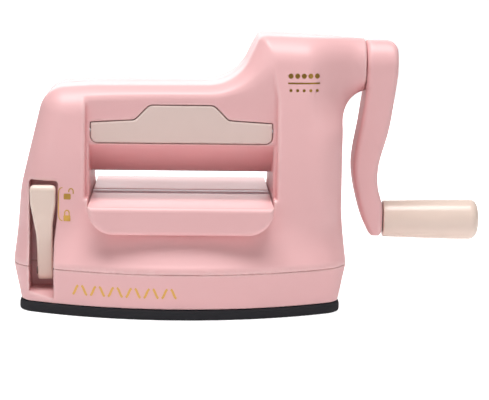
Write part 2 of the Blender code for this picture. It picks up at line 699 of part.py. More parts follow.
def scaled(corners, across, deep):
    """Corners drawn in towards the middle by one distance across and one distance deep."""
    share_u = 1 - across / BODY_HALF_WIDTH
    share_v = 1 - deep / BODY_HALF_DEPTH
    return [(u * share_u, v * share_v, radius) for u, v, radius in corners]


def slot_floor_cutter():
    """Lower part of the lever slot with its ramp."""
    ramp_back = LEVER_PIVOT_Y - LEVER_BOSS_RADIUS - 2.0 * MM
    ramp_front = ramp_back - 10.0 * MM
    floor = LEVER_PIVOT_Z - LEVER_BOSS_RADIUS - 1.0 * MM
    profile = [(-REACH, RAMP_FOOT_Z), (ramp_front, RAMP_FOOT_Z), (ramp_back, RAMP_TOP_Z),
               (ramp_back + 1.0 * MM, floor), (SLOT_BACK_Y, floor), (SLOT_BACK_Y, SEAM_Z + MM),
               (-REACH, SEAM_Z + MM)]
    return prism("cut_slot_floor", "X", [profile], LEVER_X - SLOT_HALF, LEVER_X + SLOT_HALF)


def base_shell():
    """Lower shell: tapered wall, floor with the hole for the cup, posts and the slot's foot."""
    plan = plan_corners()
    narrow = scaled(plan, BASE_SET_BACK, BASE_SET_BACK - 1.1 * MM)
    shell = tapered("base_shell", plan, narrow, BASE_BOTTOM_Z, BASE_TOP_Z, BLUSH, PARTS)
    hollow = tapered("base_hollow", inset(plan, WALL), inset(narrow, WALL),
                     BASE_BOTTOM_Z + BASE_FLOOR, BASE_TOP_Z + MM)
    cut(hollow, block("core_slot_foot", (LEVER_X - SLOT_HALF - SLOT_WALL, -REACH, 0.0),
                      (LEVER_X + SLOT_HALF + SLOT_WALL, SLOT_BACK_Y + SLOT_WALL, REACH)))
    posts = [rod(f"post_{i}", "Z", (x, y, 0), POST_RADIUS, 0.0, REACH, steps=SMALL)
             for i, (x, y) in enumerate(DECK_SCREWS)]
    cut(hollow, *posts)
    cut(shell, hollow, slot_floor_cutter())
    cut(shell, rod("cut_cup_hole", "Z", (0, 0, 0), CUP_RADIUS + CUP_HOLE_GAP, 0.0, REACH, steps=ROUND))
    cut(shell, rod("cut_shaft_hole", "X", (0, LEVER_PIVOT_Y, LEVER_PIVOT_Z), LEVER_SHAFT_RADIUS + 2 * RUNNING,
                   LEVER_X, 0.0, steps=SMALL))
    for i, (x, y) in enumerate(DECK_SCREWS):
        cut(shell, rod(f"cut_post_{i}", "Z", (x, y, 0), SCREW_RADIUS + SCREW_HOLE_GAP,
                       BASE_BOTTOM_Z + BASE_FLOOR + 2.0 * MM, REACH, steps=SMALL))
    return shell


def foot_ring():
    """Black rubber ring that the machine stands on."""
    plan = scaled(plan_corners(), RING_SET_BACK, RING_SET_BACK)
    ring = tapered("rubber_foot_ring", plan, plan, 0.0, RING_HEIGHT, BLACK, PARTS)
    return cut(ring, rod("cut_ring_hole", "Z", (0, 0, 0), RING_HOLE, -REACH, REACH, steps=ROUND))


def base_plate():
    """Steel deck over the suction mechanism: a cross with a window for the yoke."""
    wide = PLATE_OUTER + 11.0 * MM
    narrow = PLATE_OUTER - 2.0 * MM
    deep = PLATE_HALF_DEPTH
    ahead = -LEVER_PIVOT_Y + 9.0 * MM
    outline = rounded([(-wide, -deep, 2 * MM), (-narrow, -deep, 0), (-narrow, -ahead, 3 * MM),
                       (narrow, -ahead, 3 * MM), (narrow, -deep, 0), (wide, -deep, 2 * MM),
                       (wide, deep, 2 * MM), (-wide, deep, 2 * MM)])
    window = rectangle(-YOKE_WIDTH / 2 - MM, YOKE_WIDTH / 2 + MM,
                       LEVER_PIVOT_Y - 6.5 * MM, -10.5 * MM)
    hole = SCREW_RADIUS + SCREW_HOLE_GAP
    holes = [circle(hole, centre, SMALL) for centre in DECK_SCREWS + PLATE_SCREWS]
    guide = circle(GUIDE_RADIUS + RUNNING, (0, 0), SMALL)
    return prism("base_plate", "Z", [outline, window, guide, *holes], DECK_Z, DECK_Z + DECK_THICKNESS,
                 PLATE_STEEL, PARTS)


# ---- trays ----

def tray_corners(top):
    """The tray seen from the front: a flat top and two large lower corners."""
    bottom = TRAY_TOP_Z - TRAY_DEPTH
    return [(-TRAY_HALF, bottom, TRAY_CORNER), (TRAY_HALF, bottom, TRAY_CORNER),
            (TRAY_HALF, top, 0.0), (-TRAY_HALF, top, 0.0)]


def tray(name, sign):
    """Feed shelf that runs in over the lower roller's flank."""
    near, far = sorted((sign * (ROLLER_RADIUS * 0.5 + 0.7 * MM), sign * TRAY_REACH))
    shelf = prism(name, "Y", [rounded(tray_corners(TRAY_TOP_Z))], near, far, BLUSH, PARTS)
    return cut(shelf, rod(f"cut_{name}", "X", (0, 0, LOWER_AXIS_Z), ROLLER_RADIUS + 0.5 * MM,
                          -REACH, REACH, steps=ROUND))


# ---- steel frame ----

PLATE_SCREWS = [(sx * (PLATE_INNER - 6.0 * MM), sy * 11.0 * MM) for sx in (-1, 1) for sy in (-1, 1)]


def side_plate(name, sign, top, tower_top):
    """Side plate with an inward foot; the right one has a tower for the gear train."""
    deep, slim = PLATE_HALF_DEPTH, 10.0 * MM
    bottom = FOOT_Z + 0.5 * MM
    corners = [(-deep, bottom, 0), (deep, bottom, 0), (deep, top, 4 * MM)]
    if tower_top > top:
        corners += [(slim, top + 10 * MM, 6 * MM), (slim, tower_top, 4 * MM),
                    (-slim, tower_top, 4 * MM), (-slim, top + 10 * MM, 6 * MM)]
    corners.append((-deep, top, 4 * MM))
    tie_hole = TIE_NECK_RADIUS + GAP
    holes = [circle(BUSH_RADIUS + GAP, (0, z)) for z in (LOWER_AXIS_Z, UPPER_AXIS_Z)]
    holes += [circle(tie_hole, centre, SMALL) for centre in TIE_PLACES]
    if tower_top > top:
        holes.append(circle(IDLER_AXLE_RADIUS, (0, IDLER_Z), SMALL))
        holes.append(circle(CRANK_SHAFT_RADIUS + RUNNING + BUSH_WALL + GAP, (0, CRANK_Z)))
    near, far = sorted((sign * PLATE_INNER, sign * PLATE_OUTER))
    plate = prism(name, "X", [rounded(corners), *holes], near, far, PLATE_STEEL, PARTS)
    foot_near, foot_far = sorted((sign * (PLATE_INNER - FOOT_LENGTH), sign * (PLATE_OUTER - 0.4 * MM)))
    foot = block(f"{name}_foot", (foot_near, -deep + MM, FOOT_Z), (foot_far, deep - MM, FOOT_Z + 2 * MM))
    join(plate, foot)
    for number, (x, y) in enumerate(PLATE_SCREWS):
        if x * sign > 0:
            cut(plate, rod(f"cut_{name}_{number}", "Z", (x, y, 0), SCREW_RADIUS + SCREW_HOLE_GAP,
                           0.0, FOOT_Z + 5 * MM, steps=SMALL))
    return plate


TOP_TIE = (4.0 * MM, FLAP_TOP_Z - 5.5 * MM)
TIE_PLACES = [TOP_TIE, (-LOW_TIE_Y, LOW_TIE_Z), (LOW_TIE_Y, LOW_TIE_Z)]


def tie_bar(name, centre):
    """Round bar between the side plates with a neck in each."""
    half, inside = PLATE_OUTER, PLATE_INNER - GAP
    profile = [(0, half), (TIE_NECK_RADIUS, half), (TIE_NECK_RADIUS, inside), (TIE_RADIUS, inside),
               (TIE_RADIUS, -inside), (TIE_NECK_RADIUS, -inside), (TIE_NECK_RADIUS, -half), (0, -half)]
    return turned(name, "X", (0, *centre), profile, SMALL, STEEL)


def flanged_bush(name, sign, centre_z, bore, radius):
    """Bush pressed into a side plate, with its flange on the gear side."""
    start, end = PLATE_INNER - 0.2 * MM, FLANGE_OUTER
    seat = PLATE_OUTER + GAP
    profile = [(radius + 1.5 * MM, end), (radius + 1.5 * MM, seat), (radius, seat), (radius, start),
               (bore, start), (bore, end)]
    if sign < 0:
        profile = mirrored(profile)
    return turned(name, "X", (0, 0, centre_z), profile, FINE, BRONZE, closed=True)


def frame():
    """Side plates, tie bars and bushes."""
    left_top = SHOULDER_Z - 6.0 * MM
    side_plate("left_side_plate", -1, left_top, left_top)
    side_plate("right_side_plate", 1, UPPER_AXIS_Z + ROLLER_RADIUS + 14.0 * MM, TOWER_TOP_Z - 6.5 * MM)
    for name, centre in zip(("top_tie_bar", "front_tie_bar", "rear_tie_bar"), TIE_PLACES):
        tie_bar(name, centre)
    for side, sign in (("left", -1), ("right", 1)):
        flanged_bush(f"upper_{side}_bush", sign, UPPER_AXIS_Z, BUSH_BORE, BUSH_RADIUS)
        flanged_bush(f"lower_{side}_bush", sign, LOWER_AXIS_Z, BUSH_BORE, BUSH_RADIUS)


# ---- rollers and gears ----

def roller(name, centre_z, left_end, right_end):
    """Roller with bearing necks and thinner gear seats."""
    seat = FLANGE_OUTER + GAP / 2
    profile = [(0, right_end), (GEAR_SEAT_RADIUS, right_end), (GEAR_SEAT_RADIUS, seat), (NECK_RADIUS, seat),
               (NECK_RADIUS, ROLLER_HALF), (ROLLER_RADIUS, ROLLER_HALF), (ROLLER_RADIUS, -ROLLER_HALF),
               (NECK_RADIUS, -ROLLER_HALF), (NECK_RADIUS, -seat), (GEAR_SEAT_RADIUS, -seat),
               (GEAR_SEAT_RADIUS, left_end), (0, left_end)]
    return turned(name, "X", (0, 0, centre_z), profile, ROUND, STEEL)


def gear(name, teeth, centre_z, bore, low, high, tooth_angle):
    """Gear square to X with a plain bore."""
    outlines = [gear_outline(teeth, (0, centre_z), tooth_angle), circle(bore, (0, centre_z), SMALL + 4)]
    return prism(name, "X", outlines, low, high, ACETAL, PARTS)


def gear_train():
    """Rollers with their gears, the idler, and a pivot on each axis."""
    up, down = math.pi / 2, -math.pi / 2
    seat_bore = GEAR_SEAT_RADIUS + GAP
    end = 2.2 * MM
    upper = roller("upper_roller", UPPER_AXIS_Z, -MESH_GEAR_OUTER - end, DRIVE_GEAR_OUTER + end)
    lower = roller("lower_roller", LOWER_AXIS_Z, -MESH_GEAR_OUTER - end, FLANGE_OUTER + end)
    upper_mesh = gear("upper_mesh_gear", MESH_TEETH, UPPER_AXIS_Z, seat_bore,
                      -MESH_GEAR_OUTER, -GEAR_INNER, down + math.pi / MESH_TEETH)
    lower_mesh = gear("lower_mesh_gear", MESH_TEETH, LOWER_AXIS_Z, seat_bore,
                      -MESH_GEAR_OUTER, -GEAR_INNER, up)
    drive = gear("drive_gear", DRIVE_TEETH, UPPER_AXIS_Z, seat_bore, GEAR_INNER, DRIVE_GEAR_OUTER, up)
    idler = gear("idler_gear", IDLER_TEETH, IDLER_Z, IDLER_AXLE_RADIUS + RUNNING,
                 GEAR_INNER, DRIVE_GEAR_OUTER, down + math.pi / IDLER_TEETH)
    pivot("upper_roller_axis", (0, 0, UPPER_AXIS_Z), upper, upper_mesh, drive)
    pivot("lower_roller_axis", (0, 0, LOWER_AXIS_Z), lower, lower_mesh)
    pivot("idler_axis", (0, 0, IDLER_Z), idler)
    idler_axle()


def idler_axle():
    """Shouldered stud in the right side plate, with a retaining head."""
    stud, head = IDLER_AXLE_RADIUS, IDLER_AXLE_RADIUS + 1.2 * MM
    end = DRIVE_GEAR_OUTER + GAP
    profile = [(0, end + MM), (head, end + MM), (head, end), (stud, end), (stud, FLANGE_OUTER),
               (head, FLANGE_OUTER), (head, PLATE_OUTER + GAP), (stud - GAP, PLATE_OUTER + GAP),
               (stud - GAP, PLATE_INNER), (0, PLATE_INNER)]
    return turned("idler_axle", "X", (0, 0, IDLER_Z), profile, SMALL, STEEL)


# ---- crank ----

def crank_arm():
    """S-shaped arm: its front outline and its side outline, kept where both agree."""
    hub_end = HUB_X + HUB_LENGTH
    low = GRIP_Z
    inner = smooth_edge([(HUB_X, CRANK_Z - HUB_RADIUS), (HUB_X - 2.0 * MM, low + 47 * MM),
                         (HUB_X - ARM_WAIST, low + 25 * MM), (HUB_X - 1.2 * MM, low + 4.4 * MM),
                         (HUB_X + 4.4 * MM, low - ARM_END_RADIUS)])
    outer = smooth_edge([(GRIP_X - 0.4 * MM, low - ARM_END_RADIUS), (GRIP_X - 0.4 * MM, low + 6 * MM),
                         (HUB_X + ARM_THICKNESS - ARM_WAIST, low + 16 * MM),
                         (HUB_X + ARM_THICKNESS - ARM_WAIST + 0.2 * MM, low + 27 * MM),
                         (hub_end - 3.4 * MM, low + 44 * MM), (hub_end, CRANK_Z - 4 * MM)])
    top = fillet((hub_end, CRANK_Z), (hub_end, CRANK_Z + HUB_RADIUS), (HUB_X, CRANK_Z + HUB_RADIUS), 6 * MM)
    front = inner + outer + top + [(HUB_X, CRANK_Z + HUB_RADIUS)]
    side = two_circle_outline((0, low), ARM_END_RADIUS, (0, CRANK_Z), HUB_RADIUS, 12)
    arm = prism("crank_arm", "Y", [front], -REACH, REACH, BLUSH, PARTS)
    keep_inside(arm, prism("arm_side", "X", [side], 0.0, 2 * REACH))
    cut(arm, rod("cut_arm_shaft", "X", (0, 0, CRANK_Z), CRANK_SHAFT_RADIUS + GAP, 0.0, hub_end - 4 * MM),
        rod("cut_arm_spindle", "X", (0, 0, low), SPINDLE_RADIUS + GAP, 0.0, 2 * REACH),
        rod("cut_arm_screw", "Y", (HUB_X + 7 * MM, 0, CRANK_Z), SCREW_RADIUS + SCREW_HOLE_GAP, 0.0, REACH,
            steps=SMALL))
    return arm


def grip():
    """Round grip, a little wider at its far end, with a blind bore."""
    start, end = GRIP_X + GAP, GRIP_X + GAP + GRIP_LENGTH
    corner = arc((GRIP_RADIUS - GRIP_ROUNDING, end - GRIP_ROUNDING), GRIP_ROUNDING, math.pi / 2, 0.0, 6)
    bore, depth = SPINDLE_RADIUS + RUNNING, end - 5.0 * MM
    profile = [(0, end), *corner, (GRIP_ROOT_RADIUS, start), (bore, start), (bore, depth), (0, depth)]
    return turned("grip", "X", (0, 0, GRIP_Z), profile, ROUND, CREAM)


def crank():
    """Crank shaft with its pinion, arm, set screw and grip."""
    shaft = rod("crank_shaft", "X", (0, 0, CRANK_Z), CRANK_SHAFT_RADIUS, PLATE_INNER,
                HUB_X + HUB_LENGTH - 4.4 * MM, STEEL, PARTS)
    pinion = gear("crank_pinion", PINION_TEETH, CRANK_Z, CRANK_SHAFT_RADIUS + GAP,
                  GEAR_INNER, DRIVE_GEAR_OUTER, -math.pi / 2 + math.pi / PINION_TEETH)
    arm = crank_arm()
    screw = rod("crank_screw", "Y", (HUB_X + 7 * MM, 0, CRANK_Z), SCREW_RADIUS, CRANK_SHAFT_RADIUS + GAP,
                HUB_RADIUS - 1.5 * MM, STEEL, PARTS, SMALL)
    spindle = rod("grip_spindle", "X", (0, 0, GRIP_Z), SPINDLE_RADIUS, HUB_X + 4 * MM,
                  GRIP_X + GRIP_LENGTH - 5.0 * MM, STEEL, PARTS)
    pivot("crank_axis", (HUB_X, 0, CRANK_Z), shaft, pinion, arm, screw, spindle)
    pivot("grip_axis", (GRIP_X, 0, GRIP_Z), grip())
    flanged_bush("crank_inner_bush", 1, CRANK_Z, CRANK_SHAFT_RADIUS + RUNNING,
                 CRANK_SHAFT_RADIUS + RUNNING + BUSH_WALL)
    bore, outer = CRANK_SHAFT_RADIUS + RUNNING, CRANK_SHAFT_RADIUS + RUNNING + 2 * MM
    start, end = NECK_END_X - 9.0 * MM, NECK_END_X - GAP
    turned("crank_bush", "X", (0, 0, CRANK_Z), [(outer, end), (outer, start), (bore, start), (bore, end)],
           FINE, BRONZE, closed=True)


# ---- flap ----

def flap():
    """Front flap with a bored end on each side and its two pins."""
    plate = prism("front_flap", "Y", [rounded(flap_corners())], RECESS_Y, RECESS_Y + FLAP_THICKNESS,
                  CREAM, PARTS)
    inside = FLAP_HALF - FLAP_PIN_REACH
    bore = FLAP_PIN_RADIUS + 0.15 * MM
    place_of_pins = (0, FLAP_PIN_Y, FLAP_PIN_Z)
    pieces = [plate]
    for side, sign in (("left", -1), ("right", 1)):
        near, far = sorted((sign * inside, sign * REACH))
        cut(plate, rod(f"cut_flap_{side}", "X", place_of_pins, bore, near, far, steps=SMALL))
        near, far = sorted((sign * (inside + GAP), sign * (CHEEK_OUTER - 0.3 * MM)))
        pieces.append(rod(f"{side}_flap_pin", "X", place_of_pins, FLAP_PIN_RADIUS, near, far,
                          STEEL, PARTS, SMALL))
    return pivot("flap_axis", place_of_pins, *pieces)


# ---- lever and suction ----

def lever():
    """Lever, its shaft and the cam that lifts the cup."""
    reach = LEVER_TOP_Z - LEVER_TIP_RADIUS - LEVER_PIVOT_Z
    tip = (LEVER_PIVOT_Y - reach * math.tan(LEVER_LEAN), LEVER_TOP_Z - LEVER_TIP_RADIUS)
    pivot_point = (LEVER_PIVOT_Y, LEVER_PIVOT_Z)
    side = two_circle_outline(pivot_point, LEVER_BOSS_RADIUS, tip, LEVER_TIP_RADIUS, 8)
    half, foot = LEVER_WIDTH / 2, LEVER_FOOT_WIDTH / 2
    front = rounded([(LEVER_X - foot, LEVER_PIVOT_Z - 6 * MM, 0), (LEVER_X + foot, LEVER_PIVOT_Z - 6 * MM, 0),
                     (LEVER_X + half, LEVER_TOP_Z - 9 * MM, 10 * MM), (LEVER_X + half, LEVER_TOP_Z + MM, 3 * MM),
                     (LEVER_X - half, LEVER_TOP_Z + MM, 3 * MM), (LEVER_X - half, LEVER_TOP_Z - 9 * MM, 10 * MM)])
    blade = prism("lock_lever", "X", [side, circle(LEVER_SHAFT_RADIUS + GAP, pivot_point, SMALL)],
                  LEVER_X - half - MM, LEVER_X + half + MM, CREAM, PARTS)
    keep_inside(blade, prism("lever_front", "Y", [front], -REACH, REACH))
    centre = (0, LEVER_PIVOT_Y, LEVER_PIVOT_Z)
    shaft = rod("lever_shaft", "X", centre, LEVER_SHAFT_RADIUS, LEVER_X - foot, 15 * MM, STEEL, PARTS, SMALL)
    angle = -LEVER_TRAVEL / 2
    cam_centre = (LEVER_PIVOT_Y + CAM_OFFSET * math.cos(angle), LEVER_PIVOT_Z + CAM_OFFSET * math.sin(angle))
    cam = prism("lift_cam", "X", [circle(CAM_RADIUS, cam_centre), circle(LEVER_SHAFT_RADIUS + GAP, pivot_point, SMALL)],
                -CAM_WIDTH / 2, CAM_WIDTH / 2, ACETAL, PARTS)
    pivot("lever_axis", (LEVER_X, LEVER_PIVOT_Y, LEVER_PIVOT_Z), blade, shaft, cam)
    shaft_brackets()
    return cam_centre[1] + CAM_RADIUS + GAP


def shaft_brackets():
    """Two bored blocks under the deck that hold the lever's shaft."""
    for name, x in (("left_shaft_bracket", -PLATE_INNER + 3 * MM), ("right_shaft_bracket", 11 * MM)):
        outline = rectangle(LEVER_PIVOT_Y - 5 * MM, LEVER_PIVOT_Y + 5 * MM, LEVER_PIVOT_Z - 4 * MM, DECK_Z - GAP)
        hole = circle(LEVER_SHAFT_RADIUS + RUNNING, (LEVER_PIVOT_Y, LEVER_PIVOT_Z), SMALL)
        prism(name, "X", [outline, hole], x - 3 * MM, x + 3 * MM, PLATE_STEEL, PARTS)


def suction(arm_z):
    """Cup, the yoke that the cam lifts, and the spring that presses the cup down."""
    boss = 8.0 * MM
    profile = [(0, CUP_BOSS_Z), (boss, CUP_BOSS_Z), (boss, 6 * MM), (boss + 12 * MM, 4.2 * MM),
               (CUP_RADIUS, 1.2 * MM), (CUP_RADIUS, 0), (0, 0)]
    cup = turned("suction_cup", "Z", (0, 0, 0), profile, ROUND, CLEAR_RUBBER)
    base_z = CUP_BOSS_Z + GAP
    plate_z = base_z + 2.0 * MM
    half = YOKE_WIDTH / 2
    riser_y = -12.5 * MM
    ahead = LEVER_PIVOT_Y - 4.5 * MM
    path = [(0, base_z), (0, plate_z), (riser_y, plate_z), (riser_y, arm_z + YOKE_THICKNESS),
            (ahead, arm_z + YOKE_THICKNESS), (ahead, arm_z), (riser_y - 2 * MM, arm_z), (riser_y - 2 * MM, base_z)]
    yoke = prism("lift_yoke", "X", [list(reversed(path))], -half, half, PLATE_STEEL, PARTS)
    join(yoke, rod("yoke_disc", "Z", (0, 0, 0), boss - 0.4 * MM, base_z, plate_z),
         rod("yoke_guide", "Z", (0, 0, 0), GUIDE_RADIUS, base_z + MM, DECK_Z + DECK_THICKNESS + MM, steps=SMALL))
    pivot("suction_axis", (0, 0, 0), cup, yoke)
    spring(plate_z + GAP, DECK_Z - GAP)


def spring(low, high):
    """Coil spring around the yoke's guide."""
    curve = bpy.data.curves.new("suction_spring", "CURVE")
    curve.dimensions = "3D"
    curve.bevel_depth = SPRING_WIRE
    curve.bevel_resolution = 1
    curve.use_fill_caps = True
    count = SPRING_TURNS * SPRING_POINTS
    line = curve.splines.new("POLY")
    line.points.add(count)
    rise = high - low - 2 * SPRING_WIRE - 0.1 * MM
    for step, point in enumerate(line.points):
        angle = 2 * math.pi * step / SPRING_POINTS
        z = low + SPRING_WIRE + 0.05 * MM + rise * step / count
        point.co = (SPRING_RADIUS * math.cos(angle), SPRING_RADIUS * math.sin(angle), z, 1.0)
    made = bpy.data.objects.new("suction_spring", curve)
    return place(made, STEEL, PARTS)


# ---- screws ----

def screw(name, axis, centre, seat, length):
    """Cheese-head screw whose head stands on seat and whose shank runs down from it."""
    profile = [(0, seat + SCREW_HEAD), (SCREW_HEAD_RADIUS, seat + SCREW_HEAD), (SCREW_HEAD_RADIUS, seat),
               (SCREW_RADIUS, seat), (SCREW_RADIUS, seat - length), (0, seat - length)]
    return turned(name, axis, centre, profile, SMALL, STEEL)


def screws():
    """Deck, side-plate and housing screws."""
    places = ("left_front", "left_rear", "right_front", "right_rear")
    for place_name, (x, y) in zip(places, DECK_SCREWS):
        screw(f"deck_screw_{place_name}", "Z", (x, y, 0), DECK_Z + DECK_THICKNESS + GAP, 11 * MM)
    for place_name, (x, y) in zip(places, PLATE_SCREWS):
        screw(f"plate_screw_{place_name}", "Z", (x, y, 0), FOOT_Z + 2 * MM + GAP, 6 * MM)
    corners = ("upper_left", "lower_left", "lower_right", "upper_right")
    for corner, (x, z) in zip(corners, HOUSING_SCREWS):
        screw(f"housing_screw_{corner}", "Y", (x, 0, z), SCREW_SEAT_Y + GAP, SCREW_SEAT_Y + 11 * MM)


housings()
base_shell()
foot_ring()
base_plate()
tray("front_tray", -1)
tray("rear_tray", 1)
frame()
gear_train()
crank()
flap()
suction(lever())
screws()
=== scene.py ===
"""Looks of a small hand-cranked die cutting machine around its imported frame.

Lengths inside the classes are in millimetres; a piece's mesh is scaled to metres as it is made.
Moulded parts are signed-distance forms: a formula gives each point's distance to the surface
(negative inside), forms are joined, cut and blended by formulas, and the zero surface is meshed
on a grid and then moved onto the form.
"""
from __future__ import annotations

import json
import logging
import math
from dataclasses import dataclass, field
from enum import Enum
from typing import Callable, Optional, Sequence

import bmesh
import bpy
import numpy as np
from mathutils import Matrix, Vector


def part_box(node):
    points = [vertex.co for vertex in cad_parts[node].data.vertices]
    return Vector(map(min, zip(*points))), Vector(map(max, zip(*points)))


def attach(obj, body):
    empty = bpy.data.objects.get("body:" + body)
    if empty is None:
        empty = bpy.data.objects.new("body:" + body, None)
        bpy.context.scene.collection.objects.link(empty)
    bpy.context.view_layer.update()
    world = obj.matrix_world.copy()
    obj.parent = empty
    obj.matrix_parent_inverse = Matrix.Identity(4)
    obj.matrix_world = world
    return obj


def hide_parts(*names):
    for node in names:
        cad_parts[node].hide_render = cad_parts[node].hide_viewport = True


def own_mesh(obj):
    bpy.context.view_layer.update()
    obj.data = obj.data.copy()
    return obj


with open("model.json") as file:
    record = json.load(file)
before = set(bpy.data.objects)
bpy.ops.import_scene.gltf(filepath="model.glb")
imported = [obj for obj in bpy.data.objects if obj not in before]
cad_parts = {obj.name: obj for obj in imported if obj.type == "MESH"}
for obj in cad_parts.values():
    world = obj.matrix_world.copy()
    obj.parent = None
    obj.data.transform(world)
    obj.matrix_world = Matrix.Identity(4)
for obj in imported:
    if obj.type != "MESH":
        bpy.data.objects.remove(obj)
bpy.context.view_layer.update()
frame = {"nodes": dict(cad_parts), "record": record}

MM = 0.001
COARSER = 1.0
SHARP = 50.0                             # degrees above which a moulded edge stays sharp
LOG = logging.getLogger("die_cutting_machine")

Array = np.ndarray
Form = Callable[[Array, Array, Array], Array]


# ---------------------------------------------------------------- formulas

def smooth_max(a: Array, b: Array, radius: float) -> Array:
    """Intersection of two forms whose shared edge is rounded by a radius.

    Formula: the larger distance, but within a radius of the edge the distance to an arc.

    Args:
        a: Distances of the first form.
        b: Distances of the second form.
        radius: Radius of the outer edge, in millimetres.

    Returns:
        Distances of the rounded intersection.
    """
    inside = np.minimum(-radius, np.maximum(a, b))
    return inside + np.hypot(np.maximum(a + radius, 0.0), np.maximum(b + radius, 0.0))


def smooth_min(a: Array, b: Array, radius: float) -> Array:
    """Union of two forms with a fillet of the given radius in the inner corner.

    Args:
        a: Distances of the first form.
        b: Distances of the second form.
        radius: Radius of the fillet.

    Returns:
        Distances of the filleted union.
    """
    return -smooth_max(-a, -b, radius)


def carve(body: Array, tool: Array, radius: float = 0.0) -> Array:
    """Body less a tool, with a rounded edge where the cut meets the surface.

    Args:
        body: Distances of the body.
        tool: Distances of the form taken away.
        radius: Radius of the rounded edge.

    Returns:
        Distances of what is left.
    """
    return smooth_max(body, -tool, radius) if radius > 0 else np.maximum(body, -tool)


def slab(value: Array, low: float, high: float) -> Array:
    """Distance to the space between two parallel planes, for one coordinate and its two limits."""
    return np.abs(value - (low + high) / 2) - (high - low) / 2


def brick(x: Array, y: Array, z: Array, low: Sequence[float], high: Sequence[float],
          radius: float = 0.0) -> Array:
    """Distance to a box with rounded edges: three slabs met by the corner formula.

    Args:
        x: Coordinates across.
        y: Coordinates front to back.
        z: Heights.
        low: Lowest corner.
        high: Highest corner.
        radius: Edge radius.

    Returns:
        Distances to the box.
    """
    gaps = [slab(v, a, b) + radius for v, a, b in zip((x, y, z), low, high)]
    outside = np.sqrt(sum(np.maximum(g, 0.0) ** 2 for g in gaps))
    return outside + np.minimum(np.maximum(np.maximum(gaps[0], gaps[1]), gaps[2]), 0.0) - radius


def outline_distance(u: Array, v: Array, points: Sequence[Sequence[float]]) -> Array:
    """Signed distance to a closed outline in its own plane.

    Formula: the least distance to the edges, negative where a ray to the right crosses the
    outline an odd number of times.

    Args:
        u: First coordinates.
        v: Second coordinates.
        points: Corners of the outline in order.

    Returns:
        Distances, negative inside.
    """
    u, v = np.broadcast_arrays(u, v)
    best = np.full(u.shape, 1e12)
    inside = np.zeros(u.shape, bool)
    for (au, av), (bu, bv) in zip(points, [*points[1:], points[0]]):
        eu, ev = bu - au, bv - av
        length = eu * eu + ev * ev
        if length < 1e-12:
            continue
        t = np.clip(((u - au) * eu + (v - av) * ev) / length, 0.0, 1.0)
        best = np.minimum(best, (u - au - t * eu) ** 2 + (v - av - t * ev) ** 2)
        crosses = (av > v) != (bv > v)
        if ev != 0:
            inside ^= crosses & (u < au + (v - av) * eu / ev)
    return np.where(inside, -1.0, 1.0) * np.sqrt(best)


def round_corners(corners: Sequence[Sequence[float]], steps: int = 10,
                  share: float = 0.49) -> list[tuple[float, float]]:
    """Outline of (u, v, radius) corners with each corner turned into an arc.

    Formula: each arc touches both edges at radius / tan(half the corner's angle) from the corner.

    Args:
        corners: Corners with their radii.
        steps: Segments in each arc.
        share: Largest share of an edge that one arc may take.

    Returns:
        Points of the outline.
    """
    outline: list[tuple[float, float]] = []
    for index, (u, v, radius) in enumerate(corners):
        corner = np.array([u, v], float)
        before = np.array(corners[index - 1][:2], float) - corner
        after = np.array(corners[(index + 1) % len(corners)][:2], float) - corner
        reach_before, reach_after = np.linalg.norm(before), np.linalg.norm(after)
        before, after = before / reach_before, after / reach_after
        half = math.acos(float(np.clip(before @ after, -1, 1))) / 2
        if radius <= 0 or half > math.pi / 2 - 0.002:
            outline.append((u, v))
            continue
        tangent = min(radius / math.tan(half), share * reach_before, share * reach_after)
        radius = tangent * math.tan(half)
        bisector = (before + after) / np.linalg.norm(before + after)
        centre = corner + bisector * math.hypot(radius, tangent)
        start, end = corner + before * tangent - centre, corner + after * tangent - centre
        first = math.atan2(start[1], start[0])
        sweep = (math.atan2(end[1], end[0]) - first + math.pi) % (2 * math.pi) - math.pi
        angles = first + sweep * np.linspace(0, 1, steps + 1)
        outline += [(float(centre[0] + radius * math.cos(a)), float(centre[1] + radius * math.sin(a)))
                    for a in angles]
    return outline


def ramp(value: Array, heights: Sequence[float], sizes: Sequence[float]) -> Array:
    """Size that changes smoothly with height, through a few stated stations.

    Formula: monotone cubic between stations, level at the ends, slopes the mean of the two
    neighbouring chords.

    Args:
        value: Heights asked for.
        heights: Heights of the stations.
        sizes: Sizes at the stations.

    Returns:
        The size at each height.
    """
    h, s = np.array(heights, float), np.array(sizes, float)
    chord = np.diff(s) / np.diff(h)
    slope = np.concatenate([[chord[0]], (chord[1:] + chord[:-1]) / 2, [chord[-1]]])
    value = np.clip(value, h[0], h[-1])
    i = np.clip(np.searchsorted(h, value, side="right") - 1, 0, len(h) - 2)
    step = h[i + 1] - h[i]
    t = (value - h[i]) / step
    return ((2 * t ** 3 - 3 * t ** 2 + 1) * s[i] + (t ** 3 - 2 * t ** 2 + t) * step * slope[i]
            + (3 * t ** 2 - 2 * t ** 3) * s[i + 1] + (t ** 3 - t ** 2) * step * slope[i + 1])


def through(points: Sequence[Sequence[float]], steps: int = 8) -> list[tuple[float, float]]:
    """Catmull-Rom curve through a few plane points.

    Args:
        points: Points the curve passes.
        steps: Segments between two points.

    Returns:
        Points of the curve.
    """
    p = np.array([points[0], *points, points[-1]], float)
    t = np.linspace(0, 1, steps, endpoint=False)[:, None]
    curve = [0.5 * (2 * b + (c - a) * t + (2 * a - 5 * b + 4 * c - d) * t ** 2
                    + (3 * b - a - 3 * c + d) * t ** 3)
             for a, b, c, d in zip(p, p[1:], p[2:], p[3:])]
    return [tuple(map(float, q)) for q in np.vstack([*curve, p[-1:]])]


# ---------------------------------------------------------------- meshing

CORNERS = np.array([(i, j, k) for i in (0, 1) for j in (0, 1) for k in (0, 1)])


